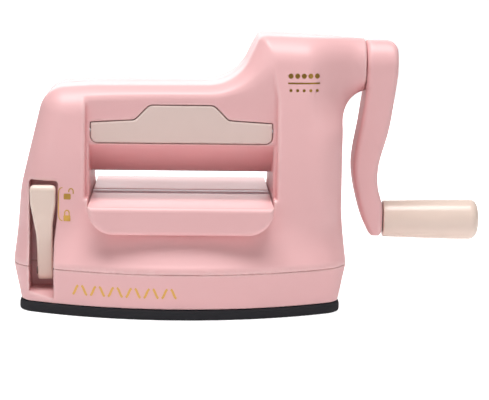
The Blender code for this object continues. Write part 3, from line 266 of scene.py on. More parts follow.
def surface_net(form: Form, low: Sequence[float], high: Sequence[float], cell: float,
                settle: int = 3) -> tuple[Array, Array]:
    """Closed mesh of a form's zero surface.

    Formula: a cell whose corners differ in sign holds one point, the mean of the crossings on
    its edges; each grid edge that crosses the surface joins the four cells around it by a face;
    the points are then moved along the gradient by their own distance, a few times.

    Args:
        form: Distance function.
        low: Lowest corner of the grid.
        high: Highest corner of the grid.
        cell: Grid pitch in millimetres.
        settle: Times that the points are moved onto the form.

    Returns:
        Points and four-sided faces.
    """
    cell *= COARSER
    axes = [np.arange(a - 1.5 * cell, b + 1.6 * cell, cell) for a, b in zip(low, high)]
    x, y, z = np.ix_(*axes)
    value = np.broadcast_to(form(x, y, z), [len(a) for a in axes]).astype(np.float64)
    value = np.where(np.abs(value) < 1e-6, 1e-6, value)
    shape = [n - 1 for n in value.shape]
    at = [value[i:i + shape[0], j:j + shape[1], k:k + shape[2]] for i, j, k in CORNERS]
    negative = sum((a < 0).astype(np.int8) for a in at)
    active = (negative > 0) & (negative < 8)
    cells = np.argwhere(active)
    corner_values = np.stack([a[active] for a in at], axis=1)
    total, count = np.zeros((len(cells), 3)), np.zeros(len(cells))
    for first in range(8):
        for second in range(first + 1, 8):
            if np.abs(CORNERS[first] - CORNERS[second]).sum() != 1:
                continue
            fa, fb = corner_values[:, first], corner_values[:, second]
            hit = (fa < 0) != (fb < 0)
            t = (fa[hit] / (fa[hit] - fb[hit]))[:, None]
            total[hit] += CORNERS[first] * (1 - t) + CORNERS[second] * t
            count[hit] += 1
    origin = np.array([a[0] for a in axes])
    points = origin + (cells + total / count[:, None]) * cell
    number = np.full(shape, -1, np.int64)
    number[active] = np.arange(len(cells))
    faces = [edge_faces(value, number, axis) for axis in range(3)]
    for _ in range(settle):
        points = settle_points(form, points, cell)
    return points, np.vstack(faces)


def edge_faces(value: Array, number: Array, axis: int) -> Array:
    """Faces across the grid edges that run along one axis and cross the surface.

    Args:
        value: Distances at the grid points.
        number: Point number of each cell, or -1.
        axis: Axis of the edges.

    Returns:
        Faces of four point numbers, turned so that they face outwards.
    """
    order = (axis, (axis + 1) % 3, (axis + 2) % 3)
    v, n = value.transpose(order), number.transpose(order)
    here, ahead = v[:-1, 1:-1, 1:-1] < 0, v[1:, 1:-1, 1:-1] < 0
    quads = np.stack([n[:, :-1, :-1], n[:, 1:, :-1], n[:, 1:, 1:], n[:, :-1, 1:]], axis=-1)
    outward, inward = quads[here & ~ahead], quads[~here & ahead]
    return np.vstack([outward, inward[:, ::-1]])


def settle_points(form: Form, points: Array, cell: float) -> Array:
    """Points moved along the form's gradient by their distance, at most half a cell.

    Args:
        form: Distance function.
        points: Points near the surface.
        cell: Grid pitch.

    Returns:
        The moved points.
    """
    step = 0.05
    here = form(*points.T)
    gradient = np.stack([form(*(points + offset).T) - form(*(points - offset).T)
                         for offset in np.eye(3) * step], axis=1) / (2 * step)
    size = np.maximum((gradient ** 2).sum(axis=1), 0.25)
    move = gradient * (here / size)[:, None]
    length = np.maximum(np.linalg.norm(move, axis=1), 1e-9)
    move *= np.minimum(1.0, 0.5 * cell / length)[:, None]
    return points - move


def put_mesh(name: str, points: Array, faces: Array, smooth: bool = True,
             sharp: Optional[float] = None) -> bpy.types.Object:
    """New object from points in millimetres and faces of one size.

    Args:
        name: Name of the piece.
        points: Points in millimetres.
        faces: Point numbers of the faces.
        smooth: Whether faces are shaded smooth.
        sharp: Angle in degrees above which an edge stays sharp.

    Returns:
        The object, linked to the scene.
    """
    mesh = bpy.data.meshes.new(name)
    sides = faces.shape[1]
    mesh.vertices.add(len(points))
    mesh.vertices.foreach_set("co", np.ascontiguousarray(points * MM, np.float32).ravel())
    mesh.loops.add(faces.size)
    mesh.loops.foreach_set("vertex_index", faces.astype(np.int32).ravel())
    mesh.polygons.add(len(faces))
    mesh.polygons.foreach_set("loop_start", np.arange(0, faces.size, sides, dtype=np.int32))
    mesh.update(calc_edges=True)
    mesh.validate()
    mesh.polygons.foreach_set("use_smooth", np.full(len(mesh.polygons), smooth))
    if sharp is not None:
        mesh.set_sharp_from_angle(angle=math.radians(sharp))
    piece = bpy.data.objects.new(name, mesh)
    bpy.context.scene.collection.objects.link(piece)
    return piece


def turned_grid(profile: Sequence[Sequence[float]], centre: Sequence[float], axis: str,
                around: int = 96) -> tuple[Array, Array]:
    """Closed turned surface: an outline in (radius, along) carried round an axis.

    Formula: point = centre + along on the axis + radius times (cos a, sin a) across it.

    Args:
        profile: Closed outline of (radius, along) points.
        centre: A point on the axis.
        axis: "X" or "Z".
        around: Stations round the axis.

    Returns:
        Points and faces.
    """
    p = np.array(profile, float)
    angle = np.linspace(0, 2 * math.pi, around, endpoint=False)
    radius, along = p[:, 0][None, :], np.broadcast_to(p[:, 1], (around, len(p)))
    c, s = np.cos(angle)[:, None] * radius, np.sin(angle)[:, None] * radius
    grid = np.stack((along, c, s) if axis == "X" else (c, s, along), axis=-1)
    return grid.reshape(-1, 3) + np.array(centre), ring_faces(around, len(p))


def ring_faces(around: int, across: int) -> Array:
    """Faces of a grid that closes both ways.

    Args:
        around: Stations round the axis.
        across: Points across.

    Returns:
        Faces of four point numbers.
    """
    i, j = np.meshgrid(np.arange(around), np.arange(across), indexing="ij")
    nxt, side = (i + 1) % around, (j + 1) % across
    return np.stack([i * across + j, nxt * across + j, nxt * across + side, i * across + side],
                    axis=-1).reshape(-1, 4)


def outward(piece: bpy.types.Object) -> bpy.types.Object:
    """Merges doubles and turns every face of a piece outwards.

    Args:
        piece: The piece.

    Returns:
        The same piece.
    """
    bm = bmesh.new()
    bm.from_mesh(piece.data)
    bmesh.ops.remove_doubles(bm, verts=bm.verts, dist=1e-7)
    bmesh.ops.recalc_face_normals(bm, faces=bm.faces)
    bm.to_mesh(piece.data)
    bm.free()
    return piece


# ---------------------------------------------------------------- node groups

class Kind(Enum):
    """Socket types of the shared effect groups."""

    NUMBER = "NodeSocketFloat"
    COLOUR = "NodeSocketColor"
    VECTOR = "NodeSocketVector"


def new_group(name: str, inputs: dict[str, tuple[Kind, object]],
              outputs: dict[str, Kind]) -> bpy.types.NodeTree:
    """Empty shader group with named sockets.

    Args:
        name: Name of the group.
        inputs: Name, kind and default of each input.
        outputs: Name and kind of each output.

    Returns:
        The group, with its input and output nodes.
    """
    tree = bpy.data.node_groups.new(name, "ShaderNodeTree")
    for label, (kind, default) in inputs.items():
        socket = tree.interface.new_socket(label, in_out="INPUT", socket_type=kind.value)
        socket.default_value = default
    for label, kind in outputs.items():
        tree.interface.new_socket(label, in_out="OUTPUT", socket_type=kind.value)
    tree.nodes.new("NodeGroupInput").name = "in"
    tree.nodes.new("NodeGroupOutput").name = "out"
    return tree


def node(tree: bpy.types.NodeTree, kind: str, values: Optional[dict] = None,
         **settings: object) -> bpy.types.Node:
    """Adds one node, sets its properties, and sets or links its inputs.

    Args:
        tree: Tree that takes the node.
        kind: Node type.
        values: Input name or index to a value, or to a socket that is linked.
        **settings: Properties of the node.

    Returns:
        The node.
    """
    made = tree.nodes.new(kind)
    for key, value in settings.items():
        setattr(made, key, value)
    for key, value in (values or {}).items():
        if isinstance(value, bpy.types.NodeSocket):
            tree.links.new(value, made.inputs[key])
        else:
            made.inputs[key].default_value = value
    return made


def math_node(tree: bpy.types.NodeTree, operation: str, *values: object) -> bpy.types.NodeSocket:
    """Output of a Math node on up to three values or sockets."""
    return node(tree, "ShaderNodeMath", dict(enumerate(values)), operation=operation).outputs[0]


def grain_group() -> bpy.types.NodeTree:
    """Fine mould texture: two noises on Object coordinates, one fine for height, one broad mask.

    Returns:
        The group.
    """
    tree = new_group("moulded_grain", {"Scale": (Kind.NUMBER, 900.0), "Broad": (Kind.NUMBER, 18.0),
                                       "Depth": (Kind.NUMBER, 0.1)},
                     {"Normal": Kind.VECTOR, "Fine": Kind.NUMBER, "Mottle": Kind.NUMBER})
    get, out = tree.nodes["in"].outputs, tree.nodes["out"]
    place = node(tree, "ShaderNodeTexCoord").outputs["Object"]
    fine = node(tree, "ShaderNodeTexNoise", {"Vector": place, "Scale": get["Scale"], "Detail": 3.0})
    broad = node(tree, "ShaderNodeTexNoise", {"Vector": place, "Scale": get["Broad"], "Detail": 4.0,
                                              "Roughness": 0.6})
    bump = node(tree, "ShaderNodeBump", {"Height": fine.outputs["Fac"], "Strength": get["Depth"],
                                         "Distance": 0.00012})
    tree.links.new(bump.outputs["Normal"], out.inputs["Normal"])
    tree.links.new(fine.outputs["Fac"], out.inputs["Fine"])
    tree.links.new(broad.outputs["Fac"], out.inputs["Mottle"])
    return tree


def edge_highlight_corner_shade_group() -> bpy.types.NodeTree:
    """Masks of painted highlight on sharp edges and painted shade in hollow corners, from the surface's
    pointiness.

    Returns:
        The group.
    """
    tree = new_group("painted_edge_highlight_and_corner_shade", {"Edge": (Kind.NUMBER, 1.0)},
                     {"Edges": Kind.NUMBER, "Corners": Kind.NUMBER})
    get, out = tree.nodes["in"].outputs, tree.nodes["out"]
    pointed = node(tree, "ShaderNodeNewGeometry").outputs["Pointiness"]
    edges = node(tree, "ShaderNodeMapRange", {"Value": pointed, "From Min": 0.51, "From Max": 0.58,
                                              "To Max": get["Edge"]})
    corners = node(tree, "ShaderNodeMapRange", {"Value": pointed, "From Min": 0.49, "From Max": 0.43})
    tree.links.new(edges.outputs[0], out.inputs["Edges"])
    tree.links.new(corners.outputs[0], out.inputs["Corners"])
    return tree


def brushed_group() -> bpy.types.NodeTree:
    """Fine lines that run along X on steel: noise stretched by a Mapping node.

    Returns:
        The group.
    """
    tree = new_group("brushed_lines", {"Stretch": (Kind.NUMBER, 40.0), "Depth": (Kind.NUMBER, 0.1)},
                     {"Normal": Kind.VECTOR, "Lines": Kind.NUMBER})
    get, out = tree.nodes["in"].outputs, tree.nodes["out"]
    place = node(tree, "ShaderNodeTexCoord").outputs["Object"]
    scale = node(tree, "ShaderNodeCombineXYZ", {"X": get["Stretch"], "Y": 2400.0, "Z": 2400.0})
    laid = node(tree, "ShaderNodeMapping", {"Vector": place, "Scale": scale.outputs[0]})
    noise = node(tree, "ShaderNodeTexNoise", {"Vector": laid.outputs[0], "Scale": 1.0, "Detail": 2.0})
    bump = node(tree, "ShaderNodeBump", {"Height": noise.outputs["Fac"], "Strength": get["Depth"],
                                         "Distance": 0.00008})
    tree.links.new(bump.outputs["Normal"], out.inputs["Normal"])
    tree.links.new(noise.outputs["Fac"], out.inputs["Lines"])
    return tree


GROUPS: dict[str, bpy.types.NodeTree] = {}


def placed_group(tree: bpy.types.NodeTree, maker: Callable[[], bpy.types.NodeTree],
                 values: dict) -> bpy.types.Node:
    """Puts a shared group into a material, building the group once.

    Args:
        tree: The material's tree.
        maker: Function that builds the group.
        values: The group's input values here.

    Returns:
        The group node.
    """
    shared = GROUPS.get(maker.__name__) or GROUPS.setdefault(maker.__name__, maker())
    made = tree.nodes.new("ShaderNodeGroup")
    made.node_tree = shared
    for key, value in values.items():
        made.inputs[key].default_value = value
    return made


def srgb(red: int, green: int, blue: int) -> tuple[float, float, float, float]:
    """Linear colour from 8-bit display values.

    Args:
        red: Red, 0 to 255.
        green: Green, 0 to 255.
        blue: Blue, 0 to 255.

    Returns:
        Red, green, blue and alpha, linear.
    """
    def linear(value: float) -> float:
        """Linear share of one 8-bit display value."""
        share = value / 255
        return share / 12.92 if share <= 0.04045 else ((share + 0.055) / 1.055) ** 2.4
    return linear(red), linear(green), linear(blue), 1.0


def mix_colour(tree: bpy.types.NodeTree, amount: object, first: object,
               second: object) -> bpy.types.NodeSocket:
    """Colour between two colours or sockets by an amount.

    Args:
        tree: Tree that takes the Mix node.
        amount: Share of the second colour, a value or a socket.
        first: First colour or socket.
        second: Second colour or socket.

    Returns:
        The mixed colour's socket.
    """
    made = node(tree, "ShaderNodeMix", data_type="RGBA")
    for index, value in ((0, amount), (6, first), (7, second)):
        if isinstance(value, bpy.types.NodeSocket):
            tree.links.new(value, made.inputs[index])
        else:
            made.inputs[index].default_value = value
    return made.outputs[2]


# ---------------------------------------------------------------- finishes

@dataclass(frozen=True)
class MouldedPlastic:
    """Satin moulded plastic: fine grain, faint mottling, painted highlight on sharp edges, painted shade in
    hollow corners.
    """

    name: str
    colour: tuple[float, float, float, float]
    # edge: paler colour painted on sharp edges as a highlight
    edge: tuple[float, float, float, float]
    # corner: darker tone for the random mottling and for painted shade in hollow corners
    corner: tuple[float, float, float, float]
    roughness: float = 0.36
    grain_depth: float = 0.12
    grain_scale: float = 900.0
    coat: float = 0.12

    def material(self) -> bpy.types.Material:
        """Builds the material once and returns it.

        Returns:
            The material.
        """
        if self.name in bpy.data.materials:
            return bpy.data.materials[self.name]
        made = bpy.data.materials.new(self.name)
        made.use_nodes = True
        tree = made.node_tree
        shader = tree.nodes["Principled BSDF"]
        grain = placed_group(tree, grain_group, {"Scale": self.grain_scale, "Broad": 22.0,
                                                 "Depth": self.grain_depth})
        edges = placed_group(tree, edge_highlight_corner_shade_group, {"Edge": 0.6})
        mottle = math_node(tree, "MULTIPLY", grain.outputs["Mottle"], 0.22)
        base = mix_colour(tree, mottle, self.colour, self.corner)
        # painted highlight: sharp edges turn paler
        edge_lit_colour = mix_colour(tree, edges.outputs["Edges"], base, self.edge)
        # painted shade: hollow corners turn darker
        shade = math_node(tree, "MULTIPLY", edges.outputs["Corners"], 0.5)
        tree.links.new(mix_colour(tree, shade, edge_lit_colour, self.corner), shader.inputs["Base Color"])
        rough = math_node(tree, "MULTIPLY_ADD", grain.outputs["Mottle"], 0.12, self.roughness - 0.06)
        tree.links.new(rough, shader.inputs["Roughness"])
        tree.links.new(grain.outputs["Normal"], shader.inputs["Normal"])
        shader.inputs["Coat Weight"].default_value = self.coat
        shader.inputs["Coat Roughness"].default_value = 0.18
        shader.inputs["Specular IOR Level"].default_value = 0.5
        return made


@dataclass(frozen=True)
class Metal:
    """Machined metal with fine lines and small changes of tone."""

    name: str
    colour: tuple[float, float, float, float]
    dark: tuple[float, float, float, float]
    roughness: float = 0.25
    depth: float = 0.15
    metallic: float = 1.0

    def material(self) -> bpy.types.Material:
        """Builds the material once and returns it.

        Returns:
            The material.
        """
        if self.name in bpy.data.materials:
            return bpy.data.materials[self.name]
        made = bpy.data.materials.new(self.name)
        made.use_nodes = True
        tree = made.node_tree
        shader = tree.nodes["Principled BSDF"]
        lines = placed_group(tree, brushed_group, {"Stretch": 60.0, "Depth": self.depth})
        grain = placed_group(tree, grain_group, {"Scale": 500.0, "Broad": 60.0, "Depth": 0.05})
        tone = math_node(tree, "MULTIPLY", lines.outputs["Lines"], 0.7)
        tree.links.new(mix_colour(tree, tone, self.colour, self.dark), shader.inputs["Base Color"])
        rough = math_node(tree, "MULTIPLY_ADD", grain.outputs["Mottle"], 0.2, self.roughness - 0.08)
        tree.links.new(rough, shader.inputs["Roughness"])
        tree.links.new(lines.outputs["Normal"], shader.inputs["Normal"])
        shader.inputs["Metallic"].default_value = self.metallic
        return made


# Each plastic: its own colour, the paler colour of its painted edge highlight, and the darker tone of its
# mottling and painted corner shade.
BLUSH = MouldedPlastic("blush_plastic", srgb(237, 188, 189), srgb(246, 216, 213), srgb(226, 158, 158),
                       roughness=0.44, coat=0.05)
CREAM = MouldedPlastic("cream_plastic", srgb(234, 220, 210), srgb(246, 238, 230), srgb(218, 194, 180),
                       roughness=0.44, grain_depth=0.08, coat=0.05)
FLAP_CREAM = MouldedPlastic("flap_plastic", srgb(228, 206, 198), srgb(240, 226, 220), srgb(214, 186, 176),
                            roughness=0.4, grain_depth=0.1)
ACETAL = MouldedPlastic("gear_acetal", srgb(232, 230, 220), srgb(246, 245, 240), srgb(196, 190, 176),
                        roughness=0.42)
RUBBER = MouldedPlastic("black_rubber", srgb(30, 31, 33), srgb(62, 62, 64), srgb(14, 14, 15),
                        roughness=0.55, grain_depth=0.35, grain_scale=1500.0, coat=0.0)
CUP_RUBBER = MouldedPlastic("cup_rubber", srgb(76, 76, 80), srgb(104, 104, 108), srgb(48, 48, 50),
                            roughness=0.5, grain_depth=0.25, grain_scale=1300.0, coat=0.0)
STEEL = Metal("bright_steel", srgb(206, 207, 208), srgb(150, 152, 154), roughness=0.22)
ZINC = Metal("zinc_plate", srgb(176, 180, 184), srgb(128, 132, 138), roughness=0.4, depth=0.3)
# Rollers: a pale, mostly diffuse colour that paints in the bright reflection of the surroundings on
# polished steel.
PALE_ROLLER_PAINTED_REFLECTION = Metal("roller_steel", srgb(246, 240, 243), srgb(222, 212, 217), roughness=0.4, metallic=0.25)
# The lever's shaft: a dark reddish colour that paints in the shade inside the lever's slot.
SHAFT_STEEL_PAINTED_SHADE = Metal("dark_steel", srgb(92, 84, 84), srgb(60, 54, 54), roughness=0.5)
BRONZE = Metal("bush_bronze", srgb(184, 150, 98), srgb(140, 106, 62), roughness=0.38)
GOLD = Metal("gold_print", srgb(214, 170, 92), srgb(190, 142, 66), roughness=0.34, depth=0.1)

NODE_FINISHES = {"blush_shell": BLUSH, "cream_plastic": CREAM, "black_rubber": RUBBER,
                 "cup_rubber": CUP_RUBBER, "bright_steel": STEEL, "zinc_plate": ZINC,
                 "bush_bronze": BRONZE, "gear_acetal": ACETAL}


def dress(piece: bpy.types.Object, finish: MouldedPlastic | Metal, slot: str, body: str,
          *nodes: str) -> bpy.types.Object:
    """Gives a piece its finish and its body, and hides the nodes it stands for.

    Args:
        piece: The piece.
        finish: Its finish.
        slot: Material slot of the record; not used.
        body: Body that it rides on.
        *nodes: Nodes that it replaces.

    Returns:
        The piece.
    """
    piece.data.materials.clear()
    piece.data.materials.append(finish.material())
    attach(piece, body)
    if nodes:
        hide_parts(*nodes)
    LOG.info("%s on %s: %d faces", piece.name, body, len(piece.data.polygons))
    return piece


# ---------------------------------------------------------------- the body

@dataclass
class Shell:
    """Upper shell: front and rear housings split along the roller axis."""

    half_width: float = 76.0
    seam: float = 21.0
    half_depth: float = 54.0
    tower_top: float = 125.7
    top_limit: float = 125.45
    shoulder: float = 101.7
    tower_x: float = 36.0
    bow_radius: float = 134.8
    wall: float = 2.4
    passage_half: float = 41.5
    cheek: float = 2.0
    rib: float = 3.5
    recess_y: float = 30.3
    recess_half: float = 43.0
    recess_foot: float = 52.5
    tray_top: float = 50.5
    tray_corner: float = 11.8
    upper_axis: float = 69.1
    lower_axis: float = 42.1
    bay: float = 9.6
    neck_hole: float = 5.6
    funnel_top: float = 76.5
    funnel_end: float = 7.2
    funnel_lip: float = 0.1
    crank_axis: float = 111.1
    crank_bore: float = 6.2
    bore_start: float = 44.0
    hub_radius: float = 12.1
    neck_end: float = 84.6
    neck_start: float = 56.0
    neck_low: float = 80.0
    split_gap: float = 0.15
    cell: float = 0.9
    slot_x: float = -61.7
    slot_half: float = 6.5
    slot_taper: float = 1.6
    slot_top: float = 60.0
    slot_back: float = -20.0
    pocket_back: float = -22.4
    flap_gap: float = 0.35
    flap_top: float = 93.7
    screw_seat: float = 20.0
    screw_tip: float = -12.0
    screw_hole: float = 1.7
    head_well: float = 2.9
    post_radius: float = 4.0
    screw_places: tuple = ((-59.0, 85.7), (-62.0, 35.0), (64.0, 35.0), (64.0, 95.6))

    def front_outline(self) -> list[tuple[float, float]]:
        """Outline seen from the front: low left shoulder, tower on the right.

        Returns:
            Points of the outline.
        """
        side, top = self.half_width, self.shoulder
        below, hub_low = self.seam - 30.0, self.crank_axis - self.hub_radius
        return round_corners([
            (-side, below, 0), (side, below, 0), (side, self.seam, 0),
            (side - 2.6, self.tray_top - 3.0, 60), (side - 2.7, self.tower_top - 55.0, 40),
            (side - 2.2, hub_low, 15), (side + 34.0, hub_low, 0), (side + 34.0, self.tower_top - 4.0, 0),
            (self.tower_x, self.tower_top, 4), (self.tower_x - 11.2, top + 1.0, 24),
            (-side + 36.0, top + 0.2, 60), (-side + 14.0, top - 1.4, 12),
            (-side + 3.6, self.tray_top + 6.0, 60), (-side, self.seam, 0)], 14)

    def depth(self, z: Array) -> Array:
        """Half depth on the middle plane at each height."""
        return ramp(z, (21, 23.4, 25.2, 31, 39, 53.5, 75, 93, 102, 112, 126),
                    (54, 53.8, 52.5, 48.8, 44.9, 40, 37, 34.4, 32.6, 30.6, 27.5))

    def bow(self, z: Array) -> Array:
        """Share of the plan's bow at each height: full at the seam, nearly none at the top."""
        return ramp(z, (21, 38, 52, 100), (1.0, 0.75, 0.3, 0.15))

    def edge_radius(self, z: Array) -> Array:
        """Radius of the upright corners at each height."""
        return ramp(z, (21, 36, 60, 95, 115), (9, 11, 13, 12, 12.05))

    def sag(self, x: Array) -> Array:
        """How far the bowed face lies behind its middle: an arc's sagitta."""
        return self.bow_radius - np.sqrt(np.maximum(self.bow_radius ** 2 - x ** 2, 1.0))

    def half_depth_at(self, x: Array, z: Array) -> Array:
        """Half depth everywhere: the bowed side, narrowing in an S-curve to the crank's hub.

        Formula: depth less the bow's sagitta, mixed with the hub's radius by the product of two
        smooth steps, one along the neck and one up the tower.

        Args:
            x: Coordinates across.
            z: Heights.

        Returns:
            Half depths.
        """
        along = np.clip((x - self.neck_start) / (self.neck_end - self.neck_start), 0.0, 1.0)
        up = np.clip((z - self.neck_low) / (self.crank_axis - self.hub_radius - self.neck_low), 0.0, 1.0)
        share = along ** 2 * (3 - 2 * along) * up ** 2 * (3 - 2 * up)
        return (self.depth(z) - self.bow(z) * self.sag(x)) * (1 - share) + self.hub_radius * share

    def outer(self, x: Array, y: Array, z: Array) -> Array:
        """Outer form with the crank's neck, before any cut.

        Formula: the front outline's distance and the depth's distance, met with a rounded edge.

        Args:
            x: Coordinates across.
            y: Coordinates front to back.
            z: Heights.

        Returns:
            Distances of the outer form.
        """
        front = outline_distance(x, z, self.front_outline())
        lean = math.cos(math.atan(0.25))
        side = (np.abs(y) - self.half_depth_at(x, z)) * lean
        body = smooth_max(front, side, self.edge_radius(z))
        body = smooth_max(body, z - self.top_limit + 0.0 * x, 2.5)
        return np.maximum(body, x - self.neck_end)

    def recess(self, x: Array, y: Array, z: Array) -> Array:
        """Space in front of the flat panel, whose right edge leans in towards the tower's top.

        Args:
            x: Coordinates across.
            y: Coordinates front to back.
            z: Heights.

        Returns:
            Distances of the space.
        """
        outline = round_corners([(-self.recess_half, self.recess_foot, 0),
                                 (self.recess_half, self.recess_foot, 0),
                                 (self.recess_half, 97.0, 30), (39.4, 113.0, 30),
                                 (30.0, 132.0, 0), (-self.recess_half, 132.0, 0)], 8)
        return np.maximum(outline_distance(x, z, outline), self.recess_y - np.abs(y))

    def passage(self, x: Array, y: Array, z: Array) -> Array:
        """Feed passage with a funnel on both sides and the roller's bay.

        Args:
            x: Coordinates across.
            y: Coordinates front to back.
            z: Heights.

        Returns:
            Distances of the space.
        """
        end = self.upper_axis - math.sqrt((self.bay + 1.0) ** 2 - self.funnel_end ** 2)
        lip = self.funnel_top - self.funnel_lip
        half = [(90, self.tray_top - 0.5), (90, lip), (self.recess_y, lip), (self.funnel_end, end)]
        profile = half + [(-v, h) for v, h in reversed(half)]
        cut = np.maximum(outline_distance(y, z, profile), slab(x, -self.passage_half, self.passage_half))
        bay = np.maximum(np.hypot(y, z - self.upper_axis) - self.bay,
                         slab(x, -self.passage_half, self.passage_half))
        necks = np.minimum(np.hypot(y, z - self.upper_axis), np.hypot(y, z - self.lower_axis))
        necks = np.maximum(necks - self.neck_hole, slab(x, -45.2, 45.2))
        return np.minimum(np.minimum(cut, bay), necks)

    def tray_opening(self, x: Array, y: Array, z: Array) -> Array:
        """Opening for the trays, the tray's outline grown by its clearance.

        Args:
            x: Coordinates across.
            y: Coordinates front to back.
            z: Heights.

        Returns:
            Distances of the opening.
        """
        half, foot, head = self.passage_half, self.tray_top - 12.8, self.tray_top + 1.1
        outline = round_corners([(-half, foot, self.tray_corner), (half, foot, self.tray_corner),
                                 (half, head, 0), (-half, head, 0)], share=0.96)
        return outline_distance(x, z, outline) + 0.0 * y

    def flap_pocket(self, x: Array, y: Array, z: Array) -> Array:
        """Pocket of the tipping flap: the flap's outline grown by its clearance.

        Args:
            x: Coordinates across.
            y: Coordinates front to back.
            z: Heights.

        Returns:
            Distances of the pocket.
        """
        flap = FrontFlap()
        outline = flap.outline(self.flap_gap, self.funnel_top, self.passage_half)
        return np.maximum(outline_distance(x, z, outline), y - self.pocket_back)

    def lever_slot(self, x: Array, y: Array, z: Array) -> Array:
        """Upright slot of the lock lever.

        Args:
            x: Coordinates across.
            y: Coordinates front to back.
            z: Heights.

        Returns:
            Distances of the slot.
        """
        low, high = self.slot_x - self.slot_half, self.slot_x + self.slot_half
        narrow = high - self.slot_taper
        outline = round_corners([(low, -20, 0), (narrow, -20, 0), (narrow, 32.0, 20), (high, 46.0, 20),
                                 (high, self.slot_top, 1.6), (low, self.slot_top, 1.6)])
        return np.maximum(outline_distance(x, z, outline), y - self.slot_back)

    def core(self, x: Array, y: Array, z: Array) -> Array:
        """Solid parts inside the shell: cheeks, pocket, slot walls and screw posts.

        Args:
            x: Coordinates across.
            y: Coordinates front to back.
            z: Heights.

        Returns:
            Distances of the solid parts.
        """
        cheek = self.passage_half + self.cheek
        rib = self.passage_half + self.rib
        floor = self.tray_top - 3.0
        low, high = self.slot_x - self.slot_half - 1.5, self.slot_x + self.slot_half + 1.5
        kept = brick(x, y, z, (-cheek, -90, floor), (cheek, 90, self.upper_axis + self.bay + 1.6))
        kept = np.minimum(kept, brick(x, y, z, (-cheek, -90, floor),
                                      (cheek, self.pocket_back + 2.0, self.flap_top + 2.6)))
        kept = np.minimum(kept, brick(x, y, z, (low, -90, 0), (high, self.slot_back + 1.5,
                                                              self.slot_top + 1.5)))
        ribs = np.maximum(brick(x, y, z, (-rib, -90, floor), (rib, 90, self.flap_top + 7.0)),
                          24.0 - np.abs(y))
        kept = np.minimum(kept, ribs)
        panel = np.maximum(brick(x, y, z, (-46.5, -90, floor), (46.5, 90, 140)),
                           self.recess_y - self.wall - np.abs(y))
        kept = np.minimum(kept, panel)
        for u, h in self.screw_places:
            kept = np.minimum(kept, np.hypot(x - u, z - h) - self.post_radius)
        return kept

    def screws(self, x: Array, y: Array, z: Array) -> Array:
        """Stepped screw holes with their head wells, sunk from the back.

        Args:
            x: Coordinates across.
            y: Coordinates front to back.
            z: Heights.

        Returns:
            Distances of the holes.
        """
        holes = np.full(np.broadcast(x, y, z).shape, 1e3)
        for u, h in self.screw_places:
            radius = np.hypot(x - u, z - h)
            hole = np.maximum(radius - self.screw_hole, self.screw_tip - y)
            well = np.maximum(radius - self.head_well, self.screw_seat - y)
            holes = np.minimum(holes, np.minimum(hole, well))
        return holes

    def form(self, x: Array, y: Array, z: Array) -> Array:
        """The whole moulded shell with every opening.

        Args:
            x: Coordinates across.
            y: Coordinates front to back.
            z: Heights.

        Returns:
            Distances of the piece.
        """
        outer = self.outer(x, y, z)
        cavity = np.maximum(outer + self.wall, -self.core(x, y, z))
        body = carve(outer, self.recess(x, y, z), 1.6)
        body = np.maximum(body, -cavity)
        body = carve(body, self.passage(x, y, z), 0.7)
        body = carve(body, self.tray_opening(x, y, z), 0.5)
        body = carve(body, self.flap_pocket(x, y, z), 0.5)
        body = carve(body, self.lever_slot(x, y, z), 0.8)
        bore = np.maximum(np.hypot(y, z - self.crank_axis) - self.crank_bore, self.bore_start - x)
        body = np.maximum(body, -bore)
        body = np.maximum(body, -self.screws(x, y, z))
        return smooth_max(body, self.seam - z, 0.4)

    def build(self) -> None:
        """Meshes and dresses both housings."""
        low = (-self.half_width, -self.half_depth, self.seam)
        high = (self.neck_end, self.half_depth, self.tower_top)

        def front(x: Array, y: Array, z: Array) -> Array:
            """Half of the form in front of the split."""
            return np.maximum(self.form(x, y, z), y + self.split_gap)

        def rear(x: Array, y: Array, z: Array) -> Array:
            """Half of the form behind the split."""
            return np.maximum(self.form(x, y, z), self.split_gap - y)

        for name, form, box_low, box_high in (
                ("front_shell", front, low, (high[0], 0.0, high[2])),
                ("rear_shell", rear, (low[0], 0.0, low[2]), high)):
            points, faces = surface_net(form, box_low, box_high, self.cell)
            node_name = name.replace("shell", "housing")
            dress(put_mesh(name, points, faces, sharp=SHARP), BLUSH, "blush_shell", "machine", node_name)


